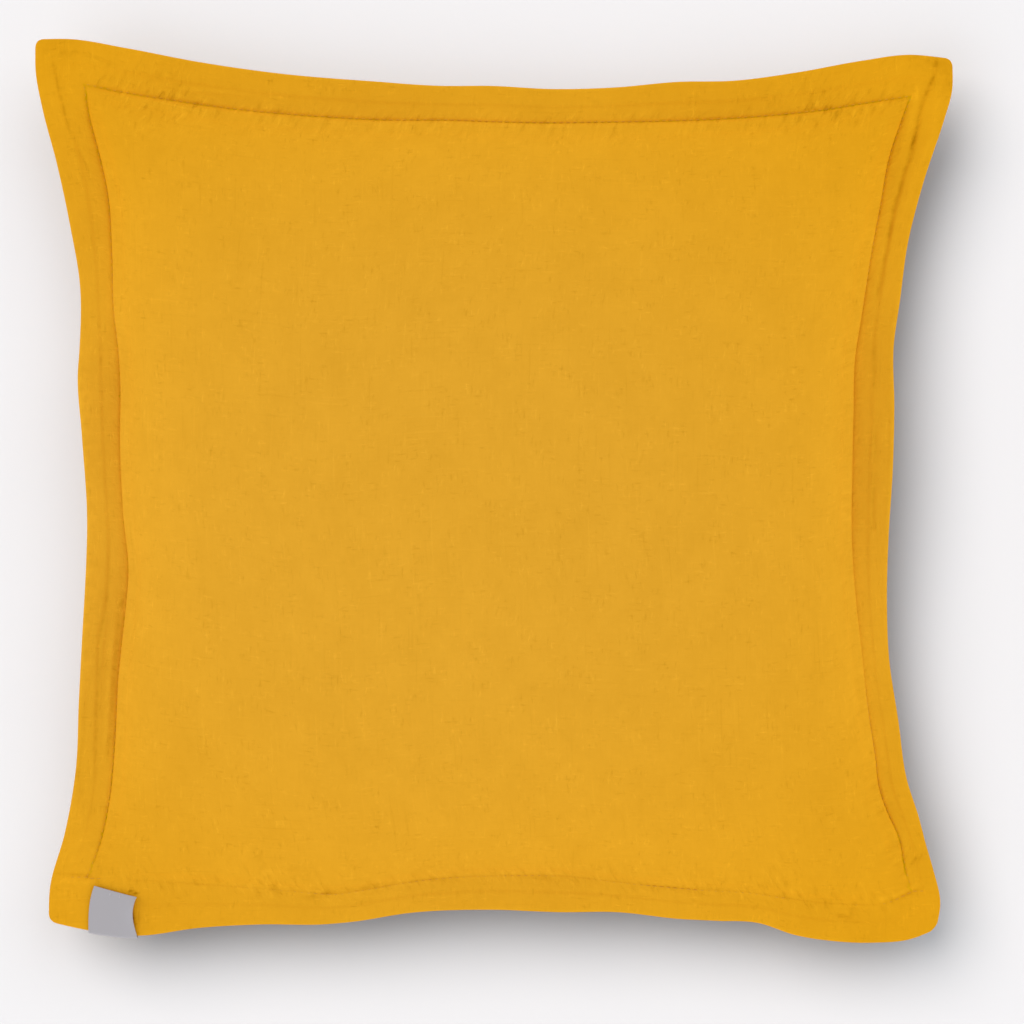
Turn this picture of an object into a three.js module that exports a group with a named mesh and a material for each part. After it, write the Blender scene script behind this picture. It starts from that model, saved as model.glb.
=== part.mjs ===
// A square cushion cover in crinkled cotton gauze, shown filled and lying on its back.
// Front and back are cut square, sewn together round the edge, turned right side out and stitched through
// again a flange's width in, so the filling stops at the stitch line and a flat flange is left all round.
// A short ribbon label is folded over the bottom edge near one corner.
// Millimetres, +Z up, +Y towards the top of the cover. The origin lies under the middle of the outline,
// on the surface that the cushion rests on.
import * as THREE from "three";

// Heights, with the cushion lying on its back
const SEAM_HEIGHT = 50; // the stitch line at the middle of a side
const CORNER_DROOP = 7; // how far the stitch line sinks towards a corner
const FRONT_CROWN = 67; // the front panel above the stitch line
const BACK_CROWN = 66; // the back panel below it, before the surface flattens it
const FLAT_BLEND = 1; // height over which the back rounds into its flat

// Plan of the panels
const EDGE_ROUND = 4; // radius of the flange's turned corners
const CELLS = 34; // grid cells across the filled square
const EDGE_CROWDING = 0.75; // 0 spaces the grid evenly, 1 crowds it towards the stitch line as a cosine
const BULGE_REACH = 0.02; // share of the panel's half width at which its wall stands out most

// Corners seen from above, as [x, y]: of the flange's outer edge, and of the stitch line
const CORNERS = {
  topLeft: { edge: [-229.5, 225.5], stitch: [-204.5, 202.5] },
  topRight: { edge: [229.5, 216], stitch: [208, 196.5] },
  bottomLeft: { edge: [-223, -216], stitch: [-203, -193.5] },
  bottomRight: { edge: [221.5, -220], stitch: [208.5, -200.5] },
};

// Each side runs from its first corner to its second. fullness is the exponent of the panel's rise from the
// stitch line: the lower, the steeper. bulge is how far the filling pushes that wall out over the flange.
// In the rows, at is the share of the side's length. edge and stitch are how far each line is drawn in from
// straight, and lift is how far the outer edge stands above the stitch line.
const SIDES = {
  top: {
    corners: ["topLeft", "topRight"],
    inward: [0, -1],
    fullness: 0.6,
    bulge: 2.5,
    rows: [
      { at: 0, edge: 0, stitch: 0, lift: -1 },
      { at: 0.04, edge: -0.3, stitch: 3.4, lift: -1 },
      { at: 0.1, edge: 3.8, stitch: 7.3, lift: -1 },
      { at: 0.18, edge: 10, stitch: 11.7, lift: -3 },
      { at: 0.27, edge: 14.9, stitch: 14.7, lift: -5 },
      { at: 0.37, edge: 18, stitch: 16.4, lift: -4 },
      { at: 0.44, edge: 19.3, stitch: 16.1, lift: -6 },
      { at: 0.5, edge: 18.7, stitch: 16.6, lift: -7 },
      { at: 0.56, edge: 19.5, stitch: 16.7, lift: -8 },
      { at: 0.63, edge: 18.2, stitch: 15.9, lift: -7 },
      { at: 0.7, edge: 15, stitch: 14.9, lift: -4 },
      { at: 0.76, edge: 13.9, stitch: 13.6, lift: -3 },
      { at: 0.83, edge: 8.8, stitch: 11.1, lift: -4 },
      { at: 0.9, edge: 2.4, stitch: 7.4, lift: -2 },
      { at: 0.95, edge: -1.1, stitch: 3.5, lift: -1 },
      { at: 1, edge: 0, stitch: 0, lift: -2 },
    ],
  },
  left: {
    corners: ["topLeft", "bottomLeft"],
    inward: [1, 0],
    fullness: 0.52,
    bulge: 4.5,
    rows: [
      { at: 0, edge: 0, stitch: 0, lift: -1 },
      { at: 0.04, edge: 0.2, stitch: 2.5, lift: -1 },
      { at: 0.08, edge: 3.4, stitch: 6.7, lift: -1 },
      { at: 0.14, edge: 9.9, stitch: 12, lift: -3 },
      { at: 0.21, edge: 16, stitch: 14, lift: -5 },
      { at: 0.28, edge: 20.4, stitch: 15, lift: -8 },
      { at: 0.35, edge: 19.9, stitch: 17.9, lift: -7 },
      { at: 0.38, edge: 19.2, stitch: 18.5, lift: -4 },
      { at: 0.45, edge: 21, stitch: 18.4, lift: -3 },
      { at: 0.54, edge: 22.6, stitch: 19.9, lift: -6 },
      { at: 0.62, edge: 21.3, stitch: 22.2, lift: -4 },
      { at: 0.66, edge: 20.1, stitch: 20.7, lift: -3 },
      { at: 0.75, edge: 17.3, stitch: 16.6, lift: -3 },
      { at: 0.83, edge: 14.6, stitch: 14.4, lift: -6 },
      { at: 0.9, edge: 8.8, stitch: 11.5, lift: -4 },
      { at: 0.96, edge: 1.2, stitch: 6.1, lift: -2 },
      { at: 1, edge: 0, stitch: 0, lift: -2 },
    ],
  },
  right: {
    corners: ["topRight", "bottomRight"],
    inward: [-1, 0],
    fullness: 0.5,
    bulge: 5,
    rows: [
      { at: 0, edge: 0, stitch: 0, lift: -2 },
      { at: 0.04, edge: 0.2, stitch: 6, lift: -2 },
      { at: 0.07, edge: 3.7, stitch: 10.1, lift: -2 },
      { at: 0.14, edge: 13.2, stitch: 15.8, lift: -4 },
      { at: 0.21, edge: 20.4, stitch: 21.2, lift: -7 },
      { at: 0.28, edge: 24.3, stitch: 25.8, lift: -6 },
      { at: 0.33, edge: 27.2, stitch: 29, lift: -4 },
      { at: 0.4, edge: 26.5, stitch: 30.1, lift: -3 },
      { at: 0.47, edge: 26.7, stitch: 30.8, lift: -3 },
      { at: 0.55, edge: 28, stitch: 31.1, lift: -5 },
      { at: 0.62, edge: 27.9, stitch: 29.4, lift: -8 },
      { at: 0.69, edge: 25.9, stitch: 26.2, lift: -10 },
      { at: 0.76, edge: 20.8, stitch: 23, lift: -9 },
      { at: 0.83, edge: 15.9, stitch: 18.6, lift: -6 },
      { at: 0.87, edge: 10, stitch: 16.4, lift: -5 },
      { at: 0.9, edge: 6.4, stitch: 12.2, lift: -4 },
      { at: 0.93, edge: 2.3, stitch: 6.7, lift: -4 },
      { at: 0.97, edge: -1.7, stitch: 3.4, lift: -3 },
      { at: 1, edge: 0, stitch: 0, lift: -3 },
    ],
  },
  bottom: {
    corners: ["bottomLeft", "bottomRight"],
    inward: [0, 1],
    fullness: 0.78,
    bulge: 0,
    rows: [
      { at: 0, edge: 0, stitch: 0, lift: -2 },
      { at: 0.04, edge: -3.7, stitch: -0.2, lift: -2 },
      { at: 0.1, edge: -6.5, stitch: -1.2, lift: -3 },
      { at: 0.17, edge: -2.4, stitch: -2.6, lift: -5 },
      { at: 0.24, edge: -0.4, stitch: -4.1, lift: -6 },
      { at: 0.31, edge: -0.1, stitch: -5, lift: -7 },
      { at: 0.34, edge: 1.2, stitch: -2.8, lift: -7 },
      { at: 0.41, edge: 6.5, stitch: 2.5, lift: -5 },
      { at: 0.5, edge: 8.2, stitch: 5.3, lift: -6 },
      { at: 0.575, edge: 7.5, stitch: 5.6, lift: -4 },
      { at: 0.64, edge: 7.5, stitch: 3.1, lift: -6 },
      { at: 0.71, edge: 4.2, stitch: 0.7, lift: -7 },
      { at: 0.75, edge: 3.5, stitch: -0.4, lift: -6 },
      { at: 0.8, edge: 2.4, stitch: -1.3, lift: -6 },
      { at: 0.84, edge: -3.2, stitch: -3.4, lift: -4 },
      { at: 0.88, edge: -5.9, stitch: -5.5, lift: -3 },
      { at: 0.93, edge: -6.8, stitch: -6.6, lift: -3 },
      { at: 0.97, edge: -4.9, stitch: -5.6, lift: -2 },
      { at: 1, edge: 0, stitch: 0, lift: -3 },
    ],
  },
};

// Across the flange: at is the share of its width from the stitch line, half is half the thickness there.
// The outer half holds the turned-in seam allowance, two more layers of cloth.
const FLANGE_ROWS = [
  { at: 0, half: 0.7 },
  { at: 0.14, half: 1 },
  { at: 0.44, half: 1 },
  { at: 0.56, half: 1.4 },
  { at: 0.95, half: 1.3 },
  { at: 1, half: 0.6 },
];

// The label: where it sits along the bottom flange, how deep each leaf comes, and its ribbon
const LABEL = {
  left: 0.001, // shares of the stitch line's length
  right: 0.06,
  frontTop: { left: 0.15, right: 0.31 }, // shares of the flange's width, where the front leaf ends
  backTop: { left: 0.2, right: 0.3 },
  thickness: 1,
  gap: 0.35, // between the ribbon and the cloth
  curl: 1.2, // how far the front leaf's right edge lifts
  columns: 6,
  foldSteps: 6,
};

// Smooth curves through a side's rows, one for each column
function curvesOf(side) {
  const columns = ["edge", "stitch", "lift"];
  const values = side.rows.flatMap((row) => columns.map((column) => row[column]));
  const curve = new THREE.CubicInterpolant(side.rows.map((row) => row.at), values, columns.length);
  return (share) => {
    const [edge, stitch, lift] = curve.evaluate(share);
    return { edge, stitch, lift };
  };
}
for (const side of Object.values(SIDES)) side.drawn = curvesOf(side);

function stitchHeight(share) {
  return SEAM_HEIGHT - CORNER_DROOP * (2 * share - 1) ** 2;
}

// A point of the stitch line, or of the flange's outer edge with its corners left sharp
function linePoint(side, line, share) {
  const [start, end] = side.corners.map((corner) => CORNERS[corner][line]);
  const drawn = side.drawn(share);
  return new THREE.Vector3(
    THREE.MathUtils.lerp(start[0], end[0], share) + side.inward[0] * drawn[line],
    THREE.MathUtils.lerp(start[1], end[1], share) + side.inward[1] * drawn[line],
    stitchHeight(share) + (line === "edge" ? drawn.lift : 0),
  );
}

// A point of the outer edge. Near a corner it follows an eighth of a circle, which the next side completes.
function edgePoint(side, share) {
  const point = linePoint(side, "edge", share);
  const start = linePoint(side, "edge", 0);
  const end = linePoint(side, "edge", 1);
  const nearStart = share < 0.5;
  const distance = point.distanceTo(nearStart ? start : end);
  if (distance >= EDGE_ROUND) return point;
  const angle = (Math.PI / 4) * (1 - distance / EDGE_ROUND);
  const onward = EDGE_ROUND * (1 - Math.sin(angle)) - distance;
  const inward = EDGE_ROUND * (1 - Math.cos(angle));
  const direction = end.sub(start).setZ(0).normalize().multiplyScalar(nearStart ? onward : -onward);
  return point.add(direction).add(new THREE.Vector3(...side.inward, 0).multiplyScalar(inward));
}

// Where the stitch line's end, carried straight on, meets the flange's outer edge, as a share of that edge
function crossing(side, which) {
  const axis = side.inward[0] === 0 ? 0 : 1;
  const [start, end] = side.corners.map((corner) => CORNERS[corner].edge[axis]);
  return (CORNERS[side.corners[which]].stitch[axis] - start) / (end - start);
}

// Coons patch: the surface between four border curves, each a function of a share
function patch({ top, bottom, left, right }) {
  return (across, down) => {
    const ruledDown = top(across).lerp(bottom(across), down);
    const ruledAcross = left(down).lerp(right(down), across);
    const topLine = top(0).lerp(top(1), across);
    const bottomLine = bottom(0).lerp(bottom(1), across);
    return ruledDown.add(ruledAcross).sub(topLine.lerp(bottomLine, down));
  };
}

const stretch = (curve, from, to) => (share) => curve(THREE.MathUtils.lerp(from, to, share));
const reverse = (curve) => (share) => curve(1 - share);
const straight = (a, b) => (share) => a.clone().lerp(b, share);

// The cover's middle surface is nine patches, kept as rows of three from the top left: four corner blocks,
// four flange strips and the filled square. They share the curves of a net of four lines across and four down.
function middlePatches() {
  const { top, left, right, bottom } = SIDES;
  const stitch = (side) => (share) => linePoint(side, "stitch", share);
  const cutsOf = (side) => [0, crossing(side, 0), crossing(side, 1), 1];
  const edges = (side) => {
    const cuts = cutsOf(side);
    return [0, 1, 2].map((i) => stretch((share) => edgePoint(side, share), cuts[i], cuts[i + 1]));
  };

  // Straight lines that carry the stitch line on from its corners to the outer edge of the side named last
  const spur = (side, end, outer, outerEnd) =>
    straight(linePoint(side, "stitch", end), edgePoint(outer, cutsOf(outer)[1 + outerEnd]));
  const lines = [
    edges(top),
    [reverse(spur(top, 0, left, 0)), stitch(top), spur(top, 1, right, 0)],
    [reverse(spur(bottom, 0, left, 1)), stitch(bottom), spur(bottom, 1, right, 1)],
    edges(bottom),
  ];
  const columns = [
    edges(left),
    [reverse(spur(top, 0, top, 0)), stitch(left), spur(bottom, 0, bottom, 0)],
    [reverse(spur(top, 1, top, 1)), stitch(right), spur(bottom, 1, bottom, 1)],
    edges(right),
  ];
  return [0, 1, 2].map((row) =>
    [0, 1, 2].map((column) =>
      patch({
        top: lines[row][column],
        bottom: lines[row + 1][column],
        left: columns[column][row],
        right: columns[column + 1][row],
      }),
    ),
  );
}
const MIDDLE = middlePatches();

// Half the flange's thickness at a share of its width from the stitch line
const halfThickness = (() => {
  const curve = new THREE.LinearInterpolant(
    FLANGE_ROWS.map((row) => row.at),
    FLANGE_ROWS.map((row) => row.half),
    1,
  );
  return (at) => curve.evaluate(at)[0];
})();

// The grid's lines in one direction: bands 0 and 2 are the flange, band 1 is the filled square, share is
// the place within the band, and out is the share of the flange's width from the stitch line
function gridLines() {
  const flange = FLANGE_ROWS.map((row) => row.at);
  const crowded = (even) =>
    THREE.MathUtils.lerp(even, (1 - Math.cos(Math.PI * even)) / 2, EDGE_CROWDING);
  const filled = Array.from({ length: CELLS - 1 }, (_, i) => crowded((i + 1) / CELLS));
  return [
    ...flange.toReversed().map((at) => ({ band: 0, share: 1 - at, out: at })),
    ...filled.map((share) => ({ band: 1, share, out: 0 })),
    ...flange.map((at) => ({ band: 2, share: at, out: at })),
  ];
}
const LINES = gridLines();

// How far the panel has risen, from 0 at the stitch line to 1 at the middle
function rise(distance, fullness) {
  return (distance * (2 - distance)) ** fullness;
}

// How far the wall beside the stitch line stands out, from 0 to 1
function standOut(distance) {
  const reach = distance / BULGE_REACH;
  return reach * Math.exp(1 - reach);
}

// The filled square's shape at a share of its width and length: rise of the panels, and the push outwards
function filling(across, down) {
  const [sideX, sideY] = [across < 0.5 ? SIDES.left : SIDES.right, down < 0.5 ? SIDES.top : SIDES.bottom];
  const [awayX, awayY] = [across, down].map((share) => 1 - Math.abs(2 * share - 1));
  const [riseX, riseY] = [rise(awayX, sideX.fullness), rise(awayY, sideY.fullness)];
  const outX = sideX.bulge * standOut(awayX) * riseY;
  const outY = sideY.bulge * standOut(awayY) * riseX;
  return {
    crown: riseX * riseY,
    push: new THREE.Vector3(-sideX.inward[0] * outX, -sideY.inward[1] * outY, 0),
  };
}

// The back lies flat where it would reach below the surface, and rounds into that flat
function settle(height) {
  if (height <= -FLAT_BLEND) return 0;
  if (height >= FLAT_BLEND) return height;
  return (height + FLAT_BLEND) ** 2 / (4 * FLAT_BLEND);
}

// A point of the front, where face is 1, or of the back, where it is -1
function coverPoint(column, row, face) {
  const point = MIDDLE[row.band][column.band](column.share, row.share);
  if (column.band !== 1 || row.band !== 1) {
    point.z += face * halfThickness(Math.max(column.out, row.out));
    return point;
  }
  const { crown, push } = filling(column.share, row.share);
  point.add(push);
  point.z += face * (halfThickness(0) + crown * (face > 0 ? FRONT_CROWN : BACK_CROWN));
  if (face < 0) point.z = settle(point.z);
  return point;
}

function geometryOf(points, triangles) {
  const geometry = new THREE.BufferGeometry().setFromPoints(points);
  geometry.setIndex(triangles);
  geometry.computeVertexNormals();
  return geometry;
}

// The filled cover as one closed solid: front grid, back grid and the rim between them
function coverGeometry() {
  const count = LINES.length;
  const last = count - 1;
  const points = [1, -1].flatMap((face) =>
    LINES.flatMap((row) => LINES.map((column) => coverPoint(column, row, face))),
  );
  const front = (column, row) => row * count + column;
  const back = (column, row) => count * count + front(column, row);
  const triangles = [];
  const quad = (a, b, c, d) => triangles.push(a, b, c, a, c, d);
  for (let row = 0; row < last; row++) {
    for (let column = 0; column < last; column++) {
      const corners = [[column, row], [column, row + 1], [column + 1, row + 1], [column + 1, row]];
      quad(...corners.map(([i, j]) => front(i, j)));
      quad(...corners.map(([i, j]) => back(i, j)).reverse());
    }
  }
  for (let i = 0; i < last; i++) {
    quad(front(i + 1, 0), back(i + 1, 0), back(i, 0), front(i, 0));
    quad(front(i, last), back(i, last), back(i + 1, last), front(i + 1, last));
    quad(front(0, i), back(0, i), back(0, i + 1), front(0, i + 1));
    quad(front(last, i + 1), back(last, i + 1), back(last, i), front(last, i));
  }
  return geometryOf(points, triangles);
}

// One column of the label, from the front leaf's end, round the flange's edge, to the back leaf's end. Each
// place holds the inner and the outer point of the ribbon.
function labelColumn(share) {
  const strip = MIDDLE[2][1];
  const across = THREE.MathUtils.lerp(LABEL.left, LABEL.right, share);
  const up = new THREE.Vector3(0, 0, 1);
  const outward = strip(across, 1).sub(strip(across, 0)).setZ(0).normalize();
  const [frontEnd, backEnd] = [LABEL.frontTop, LABEL.backTop].map((top) =>
    THREE.MathUtils.lerp(top.left, top.right, share),
  );
  const leaf = (face, end) => {
    const stations = [end, ...FLANGE_ROWS.map((row) => row.at).filter((at) => at > end + 0.05 && at < 1)];
    return stations.map((at) => {
      const curl = face > 0 ? LABEL.curl * share ** 4 * Math.sin(Math.PI * at) : 0;
      const inner = halfThickness(at) + LABEL.gap + curl;
      return [inner, inner + LABEL.thickness].map((away) =>
        strip(across, at).addScaledVector(up, face * away),
      );
    });
  };
  const fold = Array.from({ length: LABEL.foldSteps + 1 }, (_, i) => {
    const angle = Math.PI * (0.5 - i / LABEL.foldSteps);
    const inner = halfThickness(0.95) + LABEL.gap;
    return [inner, inner + LABEL.thickness].map((away) =>
      strip(across, 1)
        .addScaledVector(outward, away * Math.cos(angle) * 0.5)
        .addScaledVector(up, away * Math.sin(angle)),
    );
  });
  return [...leaf(1, frontEnd), ...fold, ...leaf(-1, backEnd).reverse()];
}

// The label as one closed ribbon
function labelGeometry() {
  const across = LABEL.columns;
  const columns = Array.from({ length: across + 1 }, (_, i) => labelColumn(i / across));
  const places = columns[0].length;
  const points = columns.flat(2);
  const inner = (column, place) => 2 * (column * places + place);
  const outer = (column, place) => inner(column, place) + 1;
  const triangles = [];
  const quad = (a, b, c, d) => triangles.push(a, b, c, a, c, d);
  for (let i = 0; i < across; i++) {
    for (let k = 0; k < places - 1; k++) {
      quad(outer(i, k), outer(i, k + 1), outer(i + 1, k + 1), outer(i + 1, k));
      quad(inner(i, k), inner(i + 1, k), inner(i + 1, k + 1), inner(i, k + 1));
    }
    quad(outer(i, 0), outer(i + 1, 0), inner(i + 1, 0), inner(i, 0));
    quad(outer(i + 1, places - 1), outer(i, places - 1), inner(i, places - 1), inner(i + 1, places - 1));
  }
  for (let k = 0; k < places - 1; k++) {
    quad(outer(0, k), inner(0, k), inner(0, k + 1), outer(0, k + 1));
    quad(outer(across, k), outer(across, k + 1), inner(across, k + 1), inner(across, k));
  }
  return geometryOf(points, triangles);
}

const mustardGauze = new THREE.MeshStandardMaterial({ color: 0xe2a32b, roughness: 0.95, metalness: 0 });
const greyRibbon = new THREE.MeshStandardMaterial({ color: 0xaaa7ac, roughness: 0.7, metalness: 0 });

function named(name, geometry, material) {
  const mesh = new THREE.Mesh(geometry, material);
  mesh.name = name;
  return mesh;
}

const cushion = new THREE.Group();
cushion.name = "cushion_cover";
cushion.add(named("cover", coverGeometry(), mustardGauze));
cushion.add(named("tab_label", labelGeometry(), greyRibbon));

export default cushion;
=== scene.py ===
import logging
import math
from dataclasses import dataclass, field
from enum import Enum
from typing import Callable

import bpy
import numpy as np
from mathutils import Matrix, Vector


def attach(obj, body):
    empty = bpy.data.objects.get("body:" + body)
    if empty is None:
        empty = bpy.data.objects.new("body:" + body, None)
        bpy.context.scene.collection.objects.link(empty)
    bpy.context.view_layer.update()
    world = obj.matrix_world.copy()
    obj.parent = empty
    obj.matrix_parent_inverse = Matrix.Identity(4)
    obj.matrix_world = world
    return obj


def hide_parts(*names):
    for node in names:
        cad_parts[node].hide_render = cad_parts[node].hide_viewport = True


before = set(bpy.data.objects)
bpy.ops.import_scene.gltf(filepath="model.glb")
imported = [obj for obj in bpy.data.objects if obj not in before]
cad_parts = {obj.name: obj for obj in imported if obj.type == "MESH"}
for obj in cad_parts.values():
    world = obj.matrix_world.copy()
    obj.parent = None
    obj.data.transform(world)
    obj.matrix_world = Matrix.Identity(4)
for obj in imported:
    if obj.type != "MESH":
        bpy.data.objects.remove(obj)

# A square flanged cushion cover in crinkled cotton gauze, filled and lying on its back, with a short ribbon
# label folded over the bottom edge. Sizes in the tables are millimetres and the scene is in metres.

MM = 0.001
MERGE_WITHIN = 0.01 * MM
Curve = Callable[[np.ndarray], np.ndarray]
Triple = tuple[float, float, float]
Colour = tuple[float, float, float, float]
log = logging.getLogger("cushion")


# Outline


def through(at: np.ndarray, value: np.ndarray, share: np.ndarray) -> np.ndarray:
    """Values along a smooth curve through given ones.

    Args:
        at: the places of the given values, rising.
        value: the given values, one to a place along the first axis.
        share: the places asked for.

    Returns:
        The curve's values, one to a place along the first axis.
    """
    slope = np.gradient(value, at, axis=0)
    i = np.clip(np.searchsorted(at, share, side="right") - 1, 0, len(at) - 2)
    wide = (-1, *[1] * (value.ndim - 1))
    gap = (at[i + 1] - at[i]).reshape(wide)
    t = ((share - at[i]) / (at[i + 1] - at[i])).reshape(wide)
    keep = (1 + 2 * t) * (1 - t) ** 2 * value[i] + t * t * (3 - 2 * t) * value[i + 1]
    turn = t * (1 - t) ** 2 * slope[i] + t * t * (t - 1) * slope[i + 1]
    return keep + gap * turn


def eased(value: np.ndarray, low: float, high: float) -> np.ndarray:
    """Rises smoothly from 0 at low to 1 at high, or falls from 1 at high to 0 at low where low is greater."""
    t = np.clip((value - low) / (high - low), 0, 1)
    return t * t * (3 - 2 * t)


class Line(Enum):
    """The two lines that a side of the cover has from above."""

    EDGE = "edge"
    STITCH = "stitch"


@dataclass(frozen=True)
class Row:
    """Where a side's two lines lie at one share of its length.

    edge and stitch are how far each is drawn in from straight, and lift is how far the outer edge stands
    above the stitch line.
    """

    at: float
    edge: float
    stitch: float
    lift: float


@dataclass(frozen=True)
class Side:
    """One side of the cover, from its first corner to its second.

    puckers is how strongly the cloth puckers along the stitching, sewn is how strongly painted shade darkens
    the crease along the stitching, and softness is the width over which the filling starts to rise.
    """

    corners: tuple[str, str]
    inward: tuple[float, float]
    fullness: float
    bulge: float
    puckers: float
    sewn: float
    softness: float
    rows: tuple[Row, ...]

    def drawn(self, column: str, share: np.ndarray) -> np.ndarray:
        """Reads one column of the rows along a smooth curve.

        Args:
            column: the name of the column.
            share: shares of the side's length.

        Returns:
            The column's value at each share.
        """
        at = np.array([row.at for row in self.rows])
        value = np.array([getattr(row, column) for row in self.rows], float)
        return through(at, value, share)


@dataclass(frozen=True)
class Outline:
    """The stitch line and the flange's outer edge, seen from above, with their heights."""

    seam_height: float = 50.0
    corner_droop: float = 7.0
    edge_round: float = 4.0
    edge_corners: dict[str, tuple[float, float]] = field(
        default_factory=lambda: {
            "top_left": (-229.5, 225.5),
            "top_right": (229.5, 216.0),
            "bottom_left": (-223.0, -216.0),
            "bottom_right": (221.5, -220.0),
        }
    )
    stitch_corners: dict[str, tuple[float, float]] = field(
        default_factory=lambda: {
            "top_left": (-204.5, 202.5),
            "top_right": (208.0, 196.5),
            "bottom_left": (-203.0, -193.5),
            "bottom_right": (208.5, -200.5),
        }
    )
    top: Side = Side(
        ("top_left", "top_right"), (0, -1), 0.6, 2.5, 1.0, 0.6, 1.0,
        (
            Row(0, 0, 0, -1), Row(0.04, -0.3, 3.4, -1), Row(0.1, 3.8, 7.3, -1), Row(0.18, 10, 11.7, -3),
            Row(0.27, 14.9, 14.7, -5), Row(0.37, 18, 16.4, -4), Row(0.44, 19.3, 16.1, -6),
            Row(0.5, 18.7, 16.6, -7), Row(0.56, 19.5, 16.7, -8), Row(0.63, 18.2, 15.9, -7),
            Row(0.7, 15, 14.9, -4), Row(0.76, 13.9, 13.6, -3), Row(0.83, 8.8, 11.1, -4),
            Row(0.9, 2.4, 7.4, -2), Row(0.95, -1.1, 3.5, -1), Row(1, 0, 0, -2),
        ),
    )
    left: Side = Side(
        ("top_left", "bottom_left"), (1, 0), 0.52, 4.5, 0.5, 1.0, 1.2,
        (
            Row(0, 0, 0, -1), Row(0.04, 0.2, 2.5, -1), Row(0.08, 3.4, 6.7, -1), Row(0.14, 9.9, 12, -3),
            Row(0.21, 16, 14, -5), Row(0.28, 20.4, 15, -8), Row(0.35, 19.9, 17.9, -7),
            Row(0.38, 19.2, 18.5, -4), Row(0.45, 21, 18.4, -3), Row(0.54, 22.6, 19.9, -6),
            Row(0.62, 21.3, 22.2, -4), Row(0.66, 20.1, 20.7, -3), Row(0.75, 17.3, 16.6, -3),
            Row(0.83, 14.6, 14.4, -6), Row(0.9, 8.8, 11.5, -4), Row(0.96, 1.2, 6.1, -2), Row(1, 0, 0, -2),
        ),
    )
    right: Side = Side(
        ("top_right", "bottom_right"), (-1, 0), 0.5, 5.0, 0.7, 0.9, 1.0,
        (
            Row(0, 0, 0, -2), Row(0.04, 0.2, 6, -2), Row(0.07, 3.7, 10.1, -2), Row(0.14, 13.2, 15.8, -4),
            Row(0.21, 20.4, 21.2, -7), Row(0.28, 24.3, 25.8, -6), Row(0.33, 27.2, 29, -4),
            Row(0.4, 26.5, 30.1, -3), Row(0.47, 26.7, 30.8, -3), Row(0.55, 28, 31.1, -5),
            Row(0.62, 27.9, 29.4, -8), Row(0.69, 25.9, 26.2, -10), Row(0.76, 20.8, 23, -9),
            Row(0.83, 15.9, 18.6, -6), Row(0.87, 10, 16.4, -5), Row(0.9, 6.4, 12.2, -4),
            Row(0.93, 2.3, 6.7, -4), Row(0.97, -1.7, 3.4, -3), Row(1, 0, 0, -3),
        ),
    )
    bottom: Side = Side(
        ("bottom_left", "bottom_right"), (0, 1), 0.8, 0.0, 0.9, 0.0, 6.0,
        (
            Row(0, 0, 0, -2), Row(0.04, -3.7, -0.2, -2), Row(0.1, -6.5, -1.2, -3), Row(0.17, -2.4, -2.6, -5),
            Row(0.24, -0.4, -4.1, -6), Row(0.31, -0.1, -5, -7), Row(0.34, 1.2, -2.8, -7),
            Row(0.41, 6.5, 2.5, -5), Row(0.5, 8.2, 5.3, -6), Row(0.575, 7.5, 5.6, -4),
            Row(0.64, 7.5, 3.1, -6), Row(0.71, 4.2, 0.7, -7), Row(0.75, 3.5, -0.4, -6),
            Row(0.8, 2.4, -1.3, -6), Row(0.84, -3.2, -3.4, -4), Row(0.88, -5.9, -5.5, -3),
            Row(0.93, -6.8, -6.6, -3), Row(0.97, -4.9, -5.6, -2), Row(1, 0, 0, -3),
        ),
    )

    def ends(self, side: Side, line: Line) -> tuple[np.ndarray, np.ndarray]:
        """The two corners between which a side's line runs.

        Args:
            side: the side of the cover.
            line: which of its lines.

        Returns:
            The line's start and end from above, in millimetres.
        """
        corners = self.edge_corners if line is Line.EDGE else self.stitch_corners
        start, end = (np.array(corners[name], float) for name in side.corners)
        return start, end

    def line(self, side: Side, line: Line, share: np.ndarray) -> np.ndarray:
        """Points of the stitch line, or of the outer edge with its corners left sharp.

        Args:
            side: the side of the cover.
            line: which of its lines.
            share: shares of the side's length.

        Returns:
            One point to a row, in millimetres.
        """
        share = np.atleast_1d(np.asarray(share, float))
        start, end = self.ends(side, line)
        flat = start + (end - start) * share[:, None]
        flat = flat + np.array(side.inward) * side.drawn(line.value, share)[:, None]
        height = self.seam_height - self.corner_droop * (2 * share - 1) ** 2
        if line is Line.EDGE:
            height = height + side.drawn("lift", share)
        return np.column_stack([flat, height])

    def edge(self, side: Side, share: np.ndarray) -> np.ndarray:
        """Points of the outer edge. Near a corner they follow an eighth of a circle.

        Args:
            side: the side of the cover.
            share: shares of the side's length.

        Returns:
            One point to a row, in millimetres.
        """
        share = np.atleast_1d(np.asarray(share, float))
        points = self.line(side, Line.EDGE, share)
        tips = self.line(side, Line.EDGE, np.array([0.0, 1.0]))
        way = (tips[1] - tips[0]) * (1, 1, 0)
        way = way / np.linalg.norm(way)
        inward = np.array([*side.inward, 0.0])
        for tip, sign, near in ((tips[0], 1, share < 0.5), (tips[1], -1, share >= 0.5)):
            apart = np.linalg.norm(points - tip, axis=1)
            bent = near & (apart < self.edge_round)
            angle = math.pi / 4 * (1 - apart / self.edge_round)
            onward = self.edge_round * (1 - np.sin(angle)) - apart
            inset = self.edge_round * (1 - np.cos(angle))
            moved = points + sign * onward[:, None] * way + inset[:, None] * inward
            points[bent] = moved[bent]
        return points

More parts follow.
